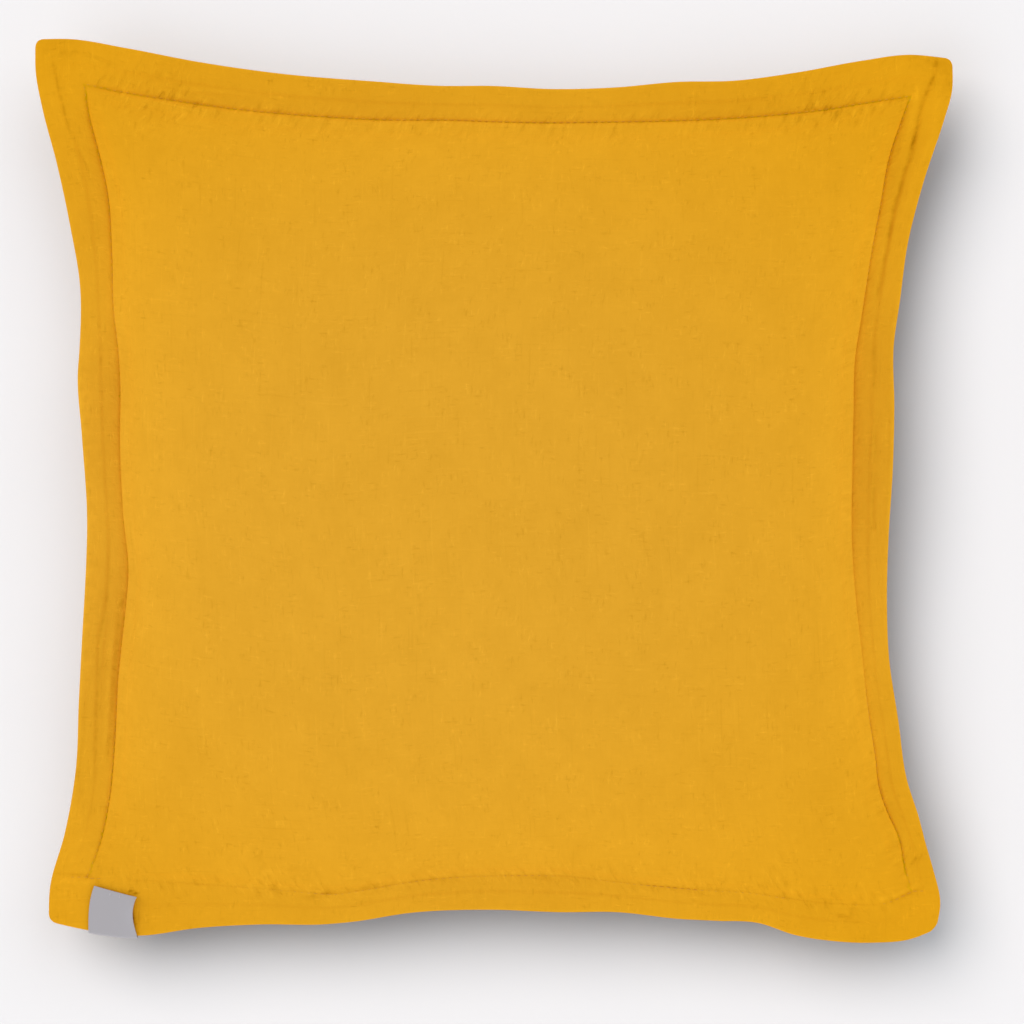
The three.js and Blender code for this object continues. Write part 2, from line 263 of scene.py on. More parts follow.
    def crossing(self, side: Side, end: int) -> float:
        """Where the stitch line, carried straight on past a corner, meets a side's outer edge.

        Args:
            side: the side of the cover.
            end: 0 for its first corner, 1 for its second.

        Returns:
            The share of the outer edge's length.
        """
        axis = 0 if side.inward[0] == 0 else 1
        start, stop = self.ends(side, Line.EDGE)
        corner = self.ends(side, Line.STITCH)[end]
        return float((corner[axis] - start[axis]) / (stop[axis] - start[axis]))

    def net(self) -> tuple[list[list[Curve]], list[list[Curve]]]:
        """The four lines across the cover and the four down it, each in three stretches.

        Returns:
            The lines across from the top, and the lines down from the left.
        """

        def stretches(side: Side) -> list[Curve]:
            """A side's outer edge, cut where the stitch lines would meet it.

            Args:
                side: the side of the cover.

            Returns:
                Its three stretches in order.
            """
            cuts = [0.0, self.crossing(side, 0), self.crossing(side, 1), 1.0]
            return [
                lambda share, low=low, high=high: self.edge(side, low + (high - low) * share)
                for low, high in zip(cuts, cuts[1:])
            ]

        def stitch(side: Side) -> Curve:
            """A side's stitch line."""
            return lambda share: self.line(side, Line.STITCH, share)

        def spur(side: Side, end: int, outer: Side, outer_end: int, inwards: bool) -> Curve:
            """The straight run across the flange between a corner of the stitch line and an outer edge.

            Args:
                side: a side whose stitch line has the corner.
                end: 0 where that is its first corner, 1 where it is its second.
                outer: the side whose outer edge the run meets.
                outer_end: the same number for the end of that side.
                inwards: whether the run starts at the outer edge.

            Returns:
                The run.
            """
            near = self.line(side, Line.STITCH, np.array([float(end)]))[0]
            far = self.edge(outer, np.array([self.crossing(outer, outer_end)]))[0]
            start, stop = (far, near) if inwards else (near, far)
            return lambda share: start + (stop - start) * share[:, None]

        across = [
            stretches(self.top),
            [
                spur(self.top, 0, self.left, 0, True),
                stitch(self.top),
                spur(self.top, 1, self.right, 0, False),
            ],
            [
                spur(self.bottom, 0, self.left, 1, True),
                stitch(self.bottom),
                spur(self.bottom, 1, self.right, 1, False),
            ],
            stretches(self.bottom),
        ]
        down = [
            stretches(self.left),
            [
                spur(self.top, 0, self.top, 0, True),
                stitch(self.left),
                spur(self.bottom, 0, self.bottom, 0, False),
            ],
            [
                spur(self.top, 1, self.top, 1, True),
                stitch(self.right),
                spur(self.bottom, 1, self.bottom, 1, False),
            ],
            stretches(self.right),
        ]
        return across, down

    def surface(self, row: int, column: int, down: np.ndarray, across: np.ndarray) -> np.ndarray:
        """The cover's middle surface within one of its nine patches.

        Args:
            row: 0 for the top flange, 1 for the filled square, 2 for the bottom flange.
            column: the same from the left.
            down: shares of the patch's length.
            across: shares of the patch's width.

        Returns:
            Points indexed by down, across and axis, in millimetres.
        """
        lines, columns = self.net()
        top, bottom = (lines[row + k][column](across)[None] for k in (0, 1))
        left, right = (columns[column + k][row](down)[:, None] for k in (0, 1))
        s, t = across[None, :, None], down[:, None, None]
        ends = np.array([0.0, 1.0])
        (a, b), (c, d) = (lines[row + k][column](ends) for k in (0, 1))
        corners = (a * (1 - s) + b * s) * (1 - t) + (c * (1 - s) + d * s) * t
        return top * (1 - t) + bottom * t + left * (1 - s) + right * s - corners


# Mesh helpers


def clear_selection() -> None:
    """Deselects every object, the CAD nodes included."""
    if bpy.context.mode != "OBJECT":
        bpy.ops.object.mode_set(mode="OBJECT")
    bpy.ops.object.select_all(action="DESELECT")


def pick(*objects: bpy.types.Object) -> None:
    """Selects these objects alone and makes the first the active one.

    Args:
        *objects: the objects.
    """
    clear_selection()
    for item in objects:
        item.select_set(True)
    bpy.context.view_layer.objects.active = objects[0]


def points_of(mesh: bpy.types.Mesh) -> np.ndarray:
    """Reads a mesh's points.

    Args:
        mesh: the mesh.

    Returns:
        One point to a row, in metres.
    """
    found = np.empty(len(mesh.vertices) * 3)
    mesh.vertices.foreach_get("co", found)
    return found.reshape(-1, 3)


def place_points(mesh: bpy.types.Mesh, points: np.ndarray) -> None:
    """Moves a mesh's points to these places."""
    mesh.vertices.foreach_set("co", np.ascontiguousarray(points, np.float32).ravel())
    mesh.update()


def add_grid(name: str, rows: int, columns: int) -> bpy.types.Object:
    """A flat grid whose points run along each row from the left, from the top row down.

    Args:
        name: the new object's name.
        rows: how many points it has down.
        columns: how many points it has across.

    Returns:
        The new object.
    """
    clear_selection()
    bpy.ops.mesh.primitive_grid_add(x_subdivisions=columns - 1, y_subdivisions=rows - 1, size=1)
    made = bpy.context.object
    made.name = made.data.name = name
    return made


def grid_points(mesh: bpy.types.Mesh, places: np.ndarray) -> np.ndarray:
    """Sorts places that are indexed by row and column into the order of a grid's own points.

    Args:
        mesh: a grid from add_grid, still flat.
        places: values indexed by row from the top, column from the left, and any more axes.

    Returns:
        The same values, one to a point of the mesh.
    """
    rows, columns = places.shape[:2]
    flat = points_of(mesh)
    column = np.rint((flat[:, 0] + 0.5) * (columns - 1)).astype(int)
    row = np.rint((0.5 - flat[:, 1]) * (rows - 1)).astype(int)
    return places[row, column]


def write_uv(mesh: bpy.types.Mesh, name: str, uv: np.ndarray) -> None:
    """Gives a mesh a UV map.

    Args:
        mesh: the mesh.
        name: the map's name.
        uv: one place for each of the mesh's points.
    """
    layer = mesh.uv_layers.get(name) or mesh.uv_layers.new(name=name, do_init=False)
    corners = np.empty(len(mesh.loops), np.int32)
    mesh.loops.foreach_get("vertex_index", corners)
    layer.uv.foreach_set("vector", np.ascontiguousarray(uv[corners], np.float32).ravel())


def smooth_shaded(piece: bpy.types.Object) -> None:
    """Shades a piece smoothly all over."""
    pick(piece)
    bpy.ops.object.shade_smooth()


def dress(piece: bpy.types.Object, finish: bpy.types.Material) -> None:
    """Gives a piece one material all over."""
    piece.data.materials.clear()
    piece.data.materials.append(finish)


def finish_piece(piece: bpy.types.Object, node: str | None = None) -> None:
    """Makes a piece ride with the part and hides the CAD node that it stands for.

    Args:
        piece: the finished mesh.
        node: the CAD node that it stands for, if any.
    """
    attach(piece, "root")
    if node:
        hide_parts(node)


# Finishes


class Graph:
    """A short way to write a material's or a node group's nodes."""

    def __init__(self, tree: bpy.types.NodeTree) -> None:
        """Keeps the tree that nodes are added to."""
        self.tree = tree

    def node(self, kind: str, inputs: dict | None = None, **settings: object) -> bpy.types.Node:
        """Adds a node.

        Args:
            kind: its type without the ShaderNode in front.
            inputs: values or sockets for its inputs, by name or place.
            **settings: its other settings.

        Returns:
            The new node.
        """
        made = self.tree.nodes.new("ShaderNode" + kind)
        for name, value in settings.items():
            setattr(made, name, value)
        for name, value in (inputs or {}).items():
            if isinstance(value, bpy.types.NodeSocket):
                self.tree.links.new(value, made.inputs[name])
            else:
                made.inputs[name].default_value = value
        return made

    def maths(self, operation: str, a: object, b: object = 0.0, c: object = 0.0) -> bpy.types.NodeSocket:
        """Adds a Math node and gives its output."""
        return self.node("Math", {0: a, 1: b, 2: c}, operation=operation).outputs[0]

    def range(self, value: object, low: float, high: float, start: float, end: float) -> bpy.types.NodeSocket:
        """Adds a clamped, smooth Map Range and gives its output."""
        inputs = {"Value": value, "From Min": low, "From Max": high, "To Min": start, "To Max": end}
        return self.node("MapRange", inputs, interpolation_type="SMOOTHSTEP").outputs[0]

    def both_ways(self, value: object, quiet: float, full: float) -> bpy.types.NodeSocket:
        """Turns a pattern round 0.5 into one from -1 to 1.

        Args:
            value: the pattern.
            quiet: how far from 0.5 it still gives 0.
            full: how far from 0.5 it gives -1 or 1.

        Returns:
            The new pattern.
        """
        above = self.range(value, 0.5 + quiet, 0.5 + full, 0.0, 1.0)
        below = self.range(value, 0.5 - quiet, 0.5 - full, 0.0, 1.0)
        return self.maths("SUBTRACT", above, below)

    def stretched(self, place: object, scale: Triple, turn: float = 0.0) -> bpy.types.NodeSocket:
        """Adds a Mapping node that scales and turns a pattern's coordinates."""
        inputs = {"Vector": place, "Scale": scale, "Rotation": (0.0, 0.0, math.radians(turn))}
        return self.node("Mapping", inputs).outputs[0]

    def noise(self, place: object, scale: float, detail: float, rough: float = 0.5) -> bpy.types.NodeSocket:
        """Adds a Noise Texture and gives its value."""
        inputs = {"Vector": place, "Scale": scale, "Detail": detail, "Roughness": rough}
        return self.node("TexNoise", inputs).outputs[0]

    def mix(self, share: object, a: object, b: object) -> bpy.types.NodeSocket:
        """Adds a Mix Color node.

        Args:
            share: how much of the second colour there is.
            a: the first colour, or a socket that gives it.
            b: the second.

        Returns:
            The node's output.
        """
        made = self.node("Mix", {"Factor": share}, data_type="RGBA")
        for name, colour in (("A", a), ("B", b)):
            entry = next(x for x in made.inputs if x.name == name and x.type == "RGBA")
            if isinstance(colour, bpy.types.NodeSocket):
                self.tree.links.new(colour, entry)
            else:
                entry.default_value = colour
        return next(x for x in made.outputs if x.type == "RGBA")


def crinkle_group() -> bpy.types.NodeTree:
    """The shader node group for crinkled gauze, which reads a place on the flat cloth in metres.

    Returns:
        A group with inputs Place, Slubs and Crinkle, and outputs Height and Shade.
    """
    tree = bpy.data.node_groups.new("gauze_crinkle", "ShaderNodeTree")
    tree.interface.new_socket("Place", in_out="INPUT", socket_type="NodeSocketVector")
    tree.interface.new_socket("Slubs", in_out="INPUT", socket_type="NodeSocketFloat")
    tree.interface.new_socket("Crinkle", in_out="INPUT", socket_type="NodeSocketFloat")
    tree.interface.new_socket("Height", in_out="OUTPUT", socket_type="NodeSocketFloat")
    tree.interface.new_socket("Shade", in_out="OUTPUT", socket_type="NodeSocketFloat")
    g = Graph(tree)
    given = tree.nodes.new("NodeGroupInput").outputs
    out = tree.nodes.new("NodeGroupOutput").inputs
    place = given["Place"]

    def threads(scale: Triple, quiet: float, full: float) -> bpy.types.NodeSocket:
        """Thick and thin threads, from -1 to 1."""
        return g.both_ways(g.noise(g.stretched(place, scale), 1.0, 1.0, 0.6), quiet, full)

    def hills(scale: Triple, detail: float) -> bpy.types.NodeSocket:
        """Soft rises and dips on both sides of 0."""
        return g.maths("SUBTRACT", g.noise(g.stretched(place, scale), 1.0, detail, 0.55), 0.5)

    clusters = g.range(g.noise(g.stretched(place, (75, 75, 1)), 1.0, 2.0), 0.4, 0.64, 0.2, 1.0)
    dashes = g.maths("ADD", threads((640, 160, 1), 0.08, 0.27), threads((160, 640, 1), 0.09, 0.29))
    streaks = g.maths("ADD", threads((600, 22, 1), 0.12, 0.32), threads((22, 600, 1), 0.14, 0.34))
    broad = hills((34, 26, 1), 1.0)
    clouds = g.maths("MULTIPLY_ADD", hills((120, 90, 1), 1.0), 0.8, broad)
    puff = hills((260, 200, 1), 2.0)
    slubs = g.maths("MULTIPLY_ADD", dashes, clusters, g.maths("MULTIPLY", streaks, 0.5))
    height = g.maths("MULTIPLY_ADD", slubs, given["Slubs"], g.maths("MULTIPLY", puff, given["Crinkle"]))
    # Shade: threads' own tone and painted shade of their relief, random tone, and the puff's painted shade.
    shade = g.maths("ADD", slubs, g.maths("MULTIPLY_ADD", puff, 0.4, clouds))
    tree.links.new(height, out["Height"])
    tree.links.new(shade, out["Shade"])
    return tree


@dataclass(frozen=True)
class GauzeFinish:
    """Mustard cotton gauze: a matt, slightly fuzzy cloth with a fine crinkle and a few thick threads.

    The colour is paler and whiter over the middle of the cushion, a painted sheen, and redder towards the
    rim, painted light that brightens the flange, within the distances of paler_within, where paler_tall is
    how much nearer those are up and down than across. An uneven dark line of painted shade, standing in for
    the shade in the crease, follows the stitching and strays from it by up to half of strays. The shades are
    how much darker the deepest thread, the deepest pucker and the darkest part of that line are: the pucker's
    and the line's are painted shade, and the thread's is partly the thick threads' own tone and partly
    painted shade of their relief. Each colour channel takes its part of that, by darkens, and by line_darkens
    on the line. The grains are how fine the patches in the creases and in that line are, and the ranges are
    the least and the most of a crease or of the line that such a patch leaves. The puckers are turned by
    pucker_lean degrees from square to the stitching.
    """

    pale: Colour = (0.755, 0.3715, 0.0262, 1.0)
    deep: Colour = (0.776, 0.357, 0.0082, 1.0)
    darkens: Triple = (0.9, 1.05, 2.0)
    line_darkens: Triple = (0.7, 0.12, 3.1)
    paler_at: tuple[float, float] = (-27 * MM, -17 * MM)
    paler_within: tuple[float, float] = (63 * MM, 385 * MM)
    paler_tall: float = 1.24
    line_within: tuple[float, float] = (0.2 * MM, 1.1 * MM)
    strays: float = 4.0 * MM
    thread_shade: float = 0.09
    pucker_shade: float = 0.16
    line_shade: float = 0.32
    crease_grain: float = 190.0
    crease_range: tuple[float, float] = (0.35, 1.65)
    line_grain: float = 120.0
    line_range: tuple[float, float] = (0.25, 1.0)
    pucker_lean: float = -28.0
    pucker_scale: Triple = (340.0, 110.0, 1.0)
    roughness: float = 0.92
    sheen: float = 0.08
    crinkle: float = 0.25 * MM
    slubs: float = 0.08 * MM
    puckers: float = 0.5 * MM

    def painted_sheen_gradient(self, g: Graph) -> bpy.types.NodeSocket:
        """The cloth's colour away from its stitching, by how far a place is from the cushion's middle.

        Args:
            g: the material's graph.

        Returns:
            A socket that gives the colour.
        """
        place = g.node("TexCoord").outputs["Object"]
        tall = (1.0, self.paler_tall, 0.0)
        flat = g.node("VectorMath", {0: place, 1: tall}, operation="MULTIPLY").outputs[0]
        middle = (self.paler_at[0], self.paler_at[1] * self.paler_tall, 0.0)
        away = g.node("VectorMath", {0: flat, 1: middle}, operation="DISTANCE").outputs["Value"]
        # This mix is painted light: a painted sheen over the middle and painted light on the flange at the
        # rim.
        return g.mix(g.range(away, *self.paler_within, 0.0, 1.0), self.pale, self.deep)

    def stitch_line(self, g: Graph) -> bpy.types.NodeSocket:
        """How dark the line along the stitching is.

        Args:
            g: the material's graph.

        Returns:
            A socket that gives it from 0 to 1, as painted shade in the crease along the stitching.
        """
        seam = g.node("UVMap", uv_map="seam").outputs[0]
        inward = g.node("SeparateXYZ", {0: seam}).outputs["Y"]
        astray = g.maths("SUBTRACT", g.noise(g.stretched(seam, (270, 0, 1)), 1.0, 2.0, 0.6), 0.5)
        aside = g.maths("ABSOLUTE", g.maths("MULTIPLY_ADD", astray, self.strays, inward))
        sewn = g.node("Attribute", attribute_name="sewn").outputs["Fac"]
        # The line is painted shade in the crease along the stitching, strongest where sewn is.
        return g.maths("MULTIPLY", g.range(aside, *self.line_within, 1.0, 0.0), sewn)

    def patches(self, g: Graph, scale: float, low: float, high: float) -> bpy.types.NodeSocket:
        """An uneven pattern from low to high that keeps a crease or a line from looking drawn."""
        cloth = g.node("UVMap", uv_map="cloth").outputs[0]
        return g.range(g.noise(cloth, scale, 2.0, 0.6), 0.33, 0.67, low, high)

    def pucker_height(self, g: Graph) -> bpy.types.NodeSocket:
        """Short puckers that run away from the stitch line.

        Args:
            g: the material's graph.

        Returns:
            A socket that gives their height, from -0.5 to 0.5 where they are at their strongest.
        """
        seam = g.node("UVMap", uv_map="seam").outputs[0]
        leaning = g.stretched(seam, (1, 1, 1), self.pucker_lean)
        waves = g.both_ways(g.noise(g.stretched(leaning, self.pucker_scale), 1.0, 1.0, 0.55), 0.03, 0.27)
        strength = g.node("Attribute", attribute_name="puckers").outputs["Fac"]
        return g.maths("MULTIPLY", g.maths("MULTIPLY", waves, 0.5), strength)

    def material(self, crinkle: bpy.types.NodeTree) -> bpy.types.Material:
        """Builds the material.

        Args:
            crinkle: the group from crinkle_group.

        Returns:
            The cloth's material, which reads the piece's UV maps and its puckering.
        """
        made = bpy.data.materials.new("cotton_gauze")
        made.use_nodes = True
        g = Graph(made.node_tree)
        links = made.node_tree.links
        shader = made.node_tree.nodes["Principled BSDF"]
        group = g.node("Group", node_tree=crinkle)
        links.new(g.node("UVMap", uv_map="cloth").outputs[0], group.inputs["Place"])
        group.inputs["Slubs"].default_value = self.slubs
        group.inputs["Crinkle"].default_value = self.crinkle
        puckers = self.pucker_height(g)
        # The creases attribute is painted shade and painted highlights, made uneven in patches.
        creases = g.node("Attribute", attribute_name="creases").outputs["Fac"]
        dark = g.maths("MULTIPLY", creases, self.patches(g, self.crease_grain, *self.crease_range))
        dark = g.maths("MULTIPLY_ADD", group.outputs["Shade"], self.thread_shade, dark)
        # Puckers darken the colour where they dip: painted shade of their relief.
        dark = g.maths("MULTIPLY_ADD", puckers, -self.pucker_shade, dark)
        # The line along the stitching is painted shade in its crease, tinted by line_darkens.
        faintest, darkest = (share * self.line_shade for share in self.line_range)
        uneven = self.patches(g, self.line_grain, faintest, darkest)
        line = g.maths("MULTIPLY", self.stitch_line(g), uneven)
        light = (1.0, 1.0, 1.0)
        for amount, channels in ((dark, self.darkens), (line, self.line_darkens)):
            taken = g.node("VectorMath", {0: channels, "Scale": amount}, operation="SCALE").outputs[0]
            light = g.node("VectorMath", {0: light, 1: taken}, operation="SUBTRACT").outputs[0]
        shaded = g.node("VectorMath", {0: self.painted_sheen_gradient(g), 1: light}, operation="MULTIPLY")
        height = g.maths("MULTIPLY_ADD", puckers, self.puckers, group.outputs["Height"])
        bump = g.node("Bump", {"Height": height, "Distance": 1.0, "Strength": 1.0})
        links.new(shaded.outputs[0], shader.inputs["Base Color"])
        links.new(bump.outputs[0], shader.inputs["Normal"])
        shader.inputs["Roughness"].default_value = self.roughness
        shader.inputs["Specular IOR Level"].default_value = 0.0
        shader.inputs["Sheen Weight"].default_value = self.sheen
        shader.inputs["Sheen Roughness"].default_value = 0.5
        shader.inputs["Sheen Tint"].default_value = self.pale
        return made


@dataclass(frozen=True)
class RibbonFinish:
    """Grey satin ribbon with a fine rib across it."""

    colour: Colour = (0.402, 0.387, 0.413, 1.0)
    roughness: float = 0.6

    def material(self) -> bpy.types.Material:
        """Builds the material.

        Returns:
            The ribbon's material, which reads the label's cloth map.
        """
        made = bpy.data.materials.new("label_ribbon")
        made.use_nodes = True
        g = Graph(made.node_tree)
        shader = made.node_tree.nodes["Principled BSDF"]
        place = g.node("UVMap", uv_map="cloth").outputs[0]
        ribs = g.noise(g.stretched(place, (500, 3200, 1)), 1.0, 1.0)
        bump = g.node("Bump", {"Height": ribs, "Distance": 0.05 * MM, "Strength": 1.0})
        made.node_tree.links.new(bump.outputs[0], shader.inputs["Normal"])
        shader.inputs["Base Color"].default_value = self.colour
        shader.inputs["Roughness"].default_value = self.roughness
        return made


@dataclass(frozen=True)
class ThreadFinish:
    """Sewing thread."""

    name: str
    colour: Colour

    def material(self) -> bpy.types.Material:
        """Builds the material.

        Returns:
            The thread's material.
        """
        made = bpy.data.materials.new(self.name)
        made.use_nodes = True
        shader = made.node_tree.nodes["Principled BSDF"]
        shader.inputs["Base Color"].default_value = self.colour
        shader.inputs["Roughness"].default_value = 0.7
        return made


# The cover


class Face(Enum):
    """The two faces of the cover."""

    FRONT = 1
    BACK = -1


@dataclass(frozen=True)
class Crease:
    """A crease or a ridge in the front that runs through points seen from above.

    breadth is half its width. lift is how far it raises the cloth, or presses it in where it is below zero,
    and shade is its painted shade, how much darker its middle is painted, or a painted highlight, paler,
    where it is below zero.
    """

    points: tuple[tuple[float, float], ...]
    breadth: float
    lift: float
    shade: float

    def strength(self, x: np.ndarray, y: np.ndarray) -> np.ndarray:
        """How much of the crease each place has. It fades out towards both ends.

        Args:
            x: how far right of the middle the places are, in millimetres.
            y: how far above the middle they are.

        Returns:
            A share from 0 to 1 for each place.
        """
        corners = np.array(self.points, float)
        steps = np.diff(corners, axis=0)
        lengths = np.hypot(steps[:, 0], steps[:, 1])
        starts = np.concatenate([[0], np.cumsum(lengths)])
        aside, along = np.full(x.shape, np.inf), np.zeros(x.shape)
        for corner, step, length, start in zip(corners, steps, lengths, starts):
            share = np.clip(((x - corner[0]) * step[0] + (y - corner[1]) * step[1]) / length**2, 0, 1)
            gap = np.hypot(x - corner[0] - share * step[0], y - corner[1] - share * step[1])
            along = np.where(gap < aside, start + share * length, along)
            aside = np.minimum(aside, gap)
        along = along / starts[-1]
        return np.exp(-((aside / self.breadth) ** 2)) * eased(along, 0, 0.2) * eased(along, 1, 0.8)


@dataclass(frozen=True)
class Gather:
    """A place where the cloth puckers more than along the rest of the stitching."""

    centre: tuple[float, float]
    reach: float
    more: float


@dataclass(frozen=True)
class GridLines:
    """The lines of a panel's grid in one direction, from one outer edge to the other.

    band is 1 on the filled square and 0 or 2 on the flange before and after it, share is the place within
    the band, and out is the share of the flange's width from the stitch line.
    """

    band: np.ndarray
    share: np.ndarray
    out: np.ndarray

    @staticmethod
    def over_all(filled: np.ndarray, flange: np.ndarray) -> "GridLines":
        """Lines over the flange and the filled square.

        Args:
            filled: the lines' shares of the filled square's width.
            flange: their shares of the flange's width, from the stitch line.

        Returns:
            The lines in order, from one outer edge to the other.
        """
        band = np.repeat([0, 1, 2], [len(flange), len(filled), len(flange)])
        share = np.concatenate([1 - flange[::-1], filled, flange])
        out = np.concatenate([flange[::-1], 0 * filled, flange])
        return GridLines(band, share, out)

    @staticmethod
    def over_square(cells: int) -> "GridLines":
        """Evenly spaced lines over the filled square alone, its stitch lines included."""
        share = np.arange(cells + 1) / cells
        return GridLines(np.ones(cells + 1, int), share, 0 * share)

    def from_first_stitching(self, flange: float, square: float) -> np.ndarray:
        """How far past the first stitch line each line is, for a flange and a square of these widths."""
        outside = np.where(self.band == 0, -self.out * flange, square + self.out * flange)
        return np.where(self.band == 1, self.share * square, outside)


@dataclass
class FilledCover:
    """The cover, filled: crowned front, flattened back and the flat flange round them.

    cells is how many cells the filled square has each way, and crowding is how much closer they are at its
    rim. front_crown and back_crown are how far its faces stand off the flange. flat_blend is how softly the
    back turns into the flat that it lies on. bulge_reach is how far in from the stitching the walls push out
    most, as a share of half the width. The halves are half the flange's thickness at the stitching, over its
    outer part and over its turned-in allowance. run_out_pinch is how much the bottom stitching, run on over
    the flange, thins it, and bottom_slack is how much thicker the cover stays by that looser stitching. The
    cloth fields are the settings of the swelling cloth, and cloth_cap is the furthest that it moves. Near the
    surface that the cushion lies on that movement fades out over lying_fade. back_cut is where on the flat
    cloth the back panel is cut, so that it doesn't repeat the front.
    """

    outline: Outline
    cells: int = 166
    crowding: float = 0.72
    front_crown: float = 64.0
    back_crown: float = 65.0
    flat_blend: float = 4.0
    bulge_reach: float = 0.02
    flange_width: float = 21.0
    square_width: float = 400.0
    flange_at: tuple[float, ...] = (
        0, 0.015, 0.035, 0.06, 0.09, 0.13, 0.17, 0.21, 0.25, 0.29, 0.33, 0.37, 0.41, 0.45, 0.49, 0.53, 0.57,
        0.61, 0.66, 0.71, 0.76, 0.82, 0.88, 0.93, 0.965, 0.99, 1
    )
    seam_half: float = 0.4
    seam_reach: float = 0.1
    flange_half: float = 1.0
    allowance_half: float = 1.4
    allowance_from: tuple[float, float] = (0.42, 0.51)
    fold_from: float = 0.93
    run_out_pinch: float = 0.22
    run_out_reach: float = 1.1
    bottom_slack: float = 0.58
    slack_reach: float = 12.0
    fill: float = 0.8
    cloth_cells: int = 88
    cloth_frames: int = 18
    cloth_cap: float = 8.0
    cloth_pressure: float = 100.0
    cloth_stretch: float = 15.0
    cloth_shear: float = 5.0
    cloth_bend: float = 0.1
    cloth_mass: float = 0.001
    cloth_quality: int = 6
    lying_fade: float = 14.0
    back_cut: tuple[float, float] = (0.731, 0.0)
    pucker_reach: tuple[float, float] = (17.0, 10.0)
    corner_fade: float = 7.0
    gathers: tuple[Gather, ...] = (
        Gather((-160, 191), 17, 1.2), Gather((-178, 208), 20, 0.7), Gather((170, 189), 16, 1.0),
        Gather((155, 199), 20, 0.6), Gather((145, -191), 15, 0.8), Gather((-112, -188), 12, 0.6),
    )
    # Every crease's shade is painted: painted shade in pressed creases, painted highlights on raised ridges.
    creases: tuple[Crease, ...] = (
        Crease(((-123, -174), (-112, -202)), 1.7, 0.6, -0.03),
        Crease(((-119.5, -174), (-109.5, -201)), 1.0, -0.3, 0.05),
        Crease(((-106, -185), (-97, -195)), 1.0, -0.4, 0.06),
        Crease(((-96, -203.5), (-85, -201.5), (-73, -197.5)), 1.5, -0.3, 0.08),
        Crease(((-76, -199.5), (-60, -197), (-47, -195)), 1.1, -0.3, 0.08),
        Crease(((-47, -195), (-14, -193)), 1.0, -0.2, 0.04),
        Crease(((4, -191.5), (33, -193)), 1.0, -0.2, 0.04),
        Crease(((71, -196.5), (106, -200)), 1.2, -0.3, 0.06),
        Crease(((169, -211), (178, -213.5), (180.5, -204)), 0.8, -0.5, 0.09),
        Crease(((141, -206), (149, -192)), 1.5, -0.35, 0.02),
        Crease(((190, -208), (202, -204.5), (217, -197)), 0.9, -0.15, 0.03),
        Crease(((190, -205.5), (202, -202), (217, -194.5)), 1.0, 0.25, -0.05),
        Crease(((207.5, -189), (212, -182)), 0.7, -0.4, 0.1),
        Crease(((211.5, -187), (214.5, -181)), 0.7, -0.4, 0.08),
        Crease(((-221, -191.5), (-200, -192.7)), 0.7, -0.4, 0.08),
        Crease(((-221, -195), (-200, -196)), 1.2, 0.3, -0.05),
        Crease(((-221.5, 219), (-217.5, 201), (-214, 187), (-210.5, 175)), 0.8, -0.5, 0.13),
        Crease(((-208, 173), (-201, 156)), 0.9, -0.3, 0.05),
        Crease(((-222, 218.5), (-206, 219), (-186, 210)), 0.9, -0.3, 0.05),
        Crease(((-163, 200.5), (-119, 197)), 1.0, 0.3, -0.03),
        Crease(
            ((222, 222), (220, 207), (215.5, 197), (212.5, 189), (211.5, 181), (206, 163)), 1.0, -0.6, 0.15
        ),
        Crease(((212, 184), (208.5, 168), (204, 157), (202.5, 149), (200, 143), (196, 122)), 1.1, -0.6, 0.13),
        # Wide flat patches: painted shade on the top flange's corners, painted light on the left flange.
        Crease(((204, 222), (226, 214), (229, 194)), 10.0, 0.0, 0.06),
        Crease(((-229, 221), (-205, 220)), 10.0, 0.0, 0.04),
        Crease(((-206, 90), (-206, -120)), 8.0, 0.0, -0.06),
        Crease(((-213, -150), (-213, -213)), 8.0, 0.0, -0.035),
        # Painted shade along the left stitch line, where the filling's wall shades the flange.
        Crease(((-184.5, -38), (-187.2, -68), (-189.5, -91), (-191, -114), (-194, -143)), 1.3, 0.0, 0.1),
        Crease(((199, 138), (196.5, 124), (194, 112), (190, 92)), 1.1, -0.5, 0.08),
        Crease(((225, 210), (218, 178), (209, 155), (202, 131)), 2.0, 0.4, -0.03),
        Crease(((214, 207), (207, 182), (201, 161)), 1.5, 0.3, -0.04),
        Crease(((211.5, 203), (211, 194)), 0.8, 0.0, -0.08),
        Crease(((189.5, 76), (189.5, 47)), 1.0, -0.3, 0.08),
        Crease(((190, 32), (190, 15)), 1.0, -0.3, 0.06),
        Crease(((189.5, 9), (188.5, -22)), 1.0, -0.3, 0.07),
        Crease(((-191, -20), (-193, -57), (-196.5, -73), (-199.5, -148)), 0.9, -0.4, 0.09),
        Crease(((-189, -62), (-194, -138)), 1.5, 0.3, -0.05),
        Crease(((-201, -88), (-207, -140), (-204, -168)), 0.9, -0.2, 0.04),
        Crease(((-195, 67), (-197.5, 61)), 0.8, -0.2, 0.08),
        Crease(((-172, 191.5), (-168, 195.5)), 0.9, -0.35, 0.05),
        Crease(((-168, 187.5), (-165, 193)), 0.9, -0.35, 0.05),
        Crease(((-155, 183), (-149.5, 192)), 0.9, -0.35, 0.05),
        Crease(((169, 189.5), (172, 185)), 0.9, -0.35, 0.05),
        Crease(((174, 190.5), (178, 186)), 0.9, -0.35, 0.05),
        Crease(((186, 166), (195, 178)), 1.6, -0.3, 0.02),
        # Painted shadows under the label's right edge and its top right corner.
        Crease(((-181, -207.5), (-181, -214), (-178, -223)), 0.8, 0.0, 0.6),
        Crease(((-183, -199.9), (-177, -202)), 0.6, 0.0, 0.4),
    )

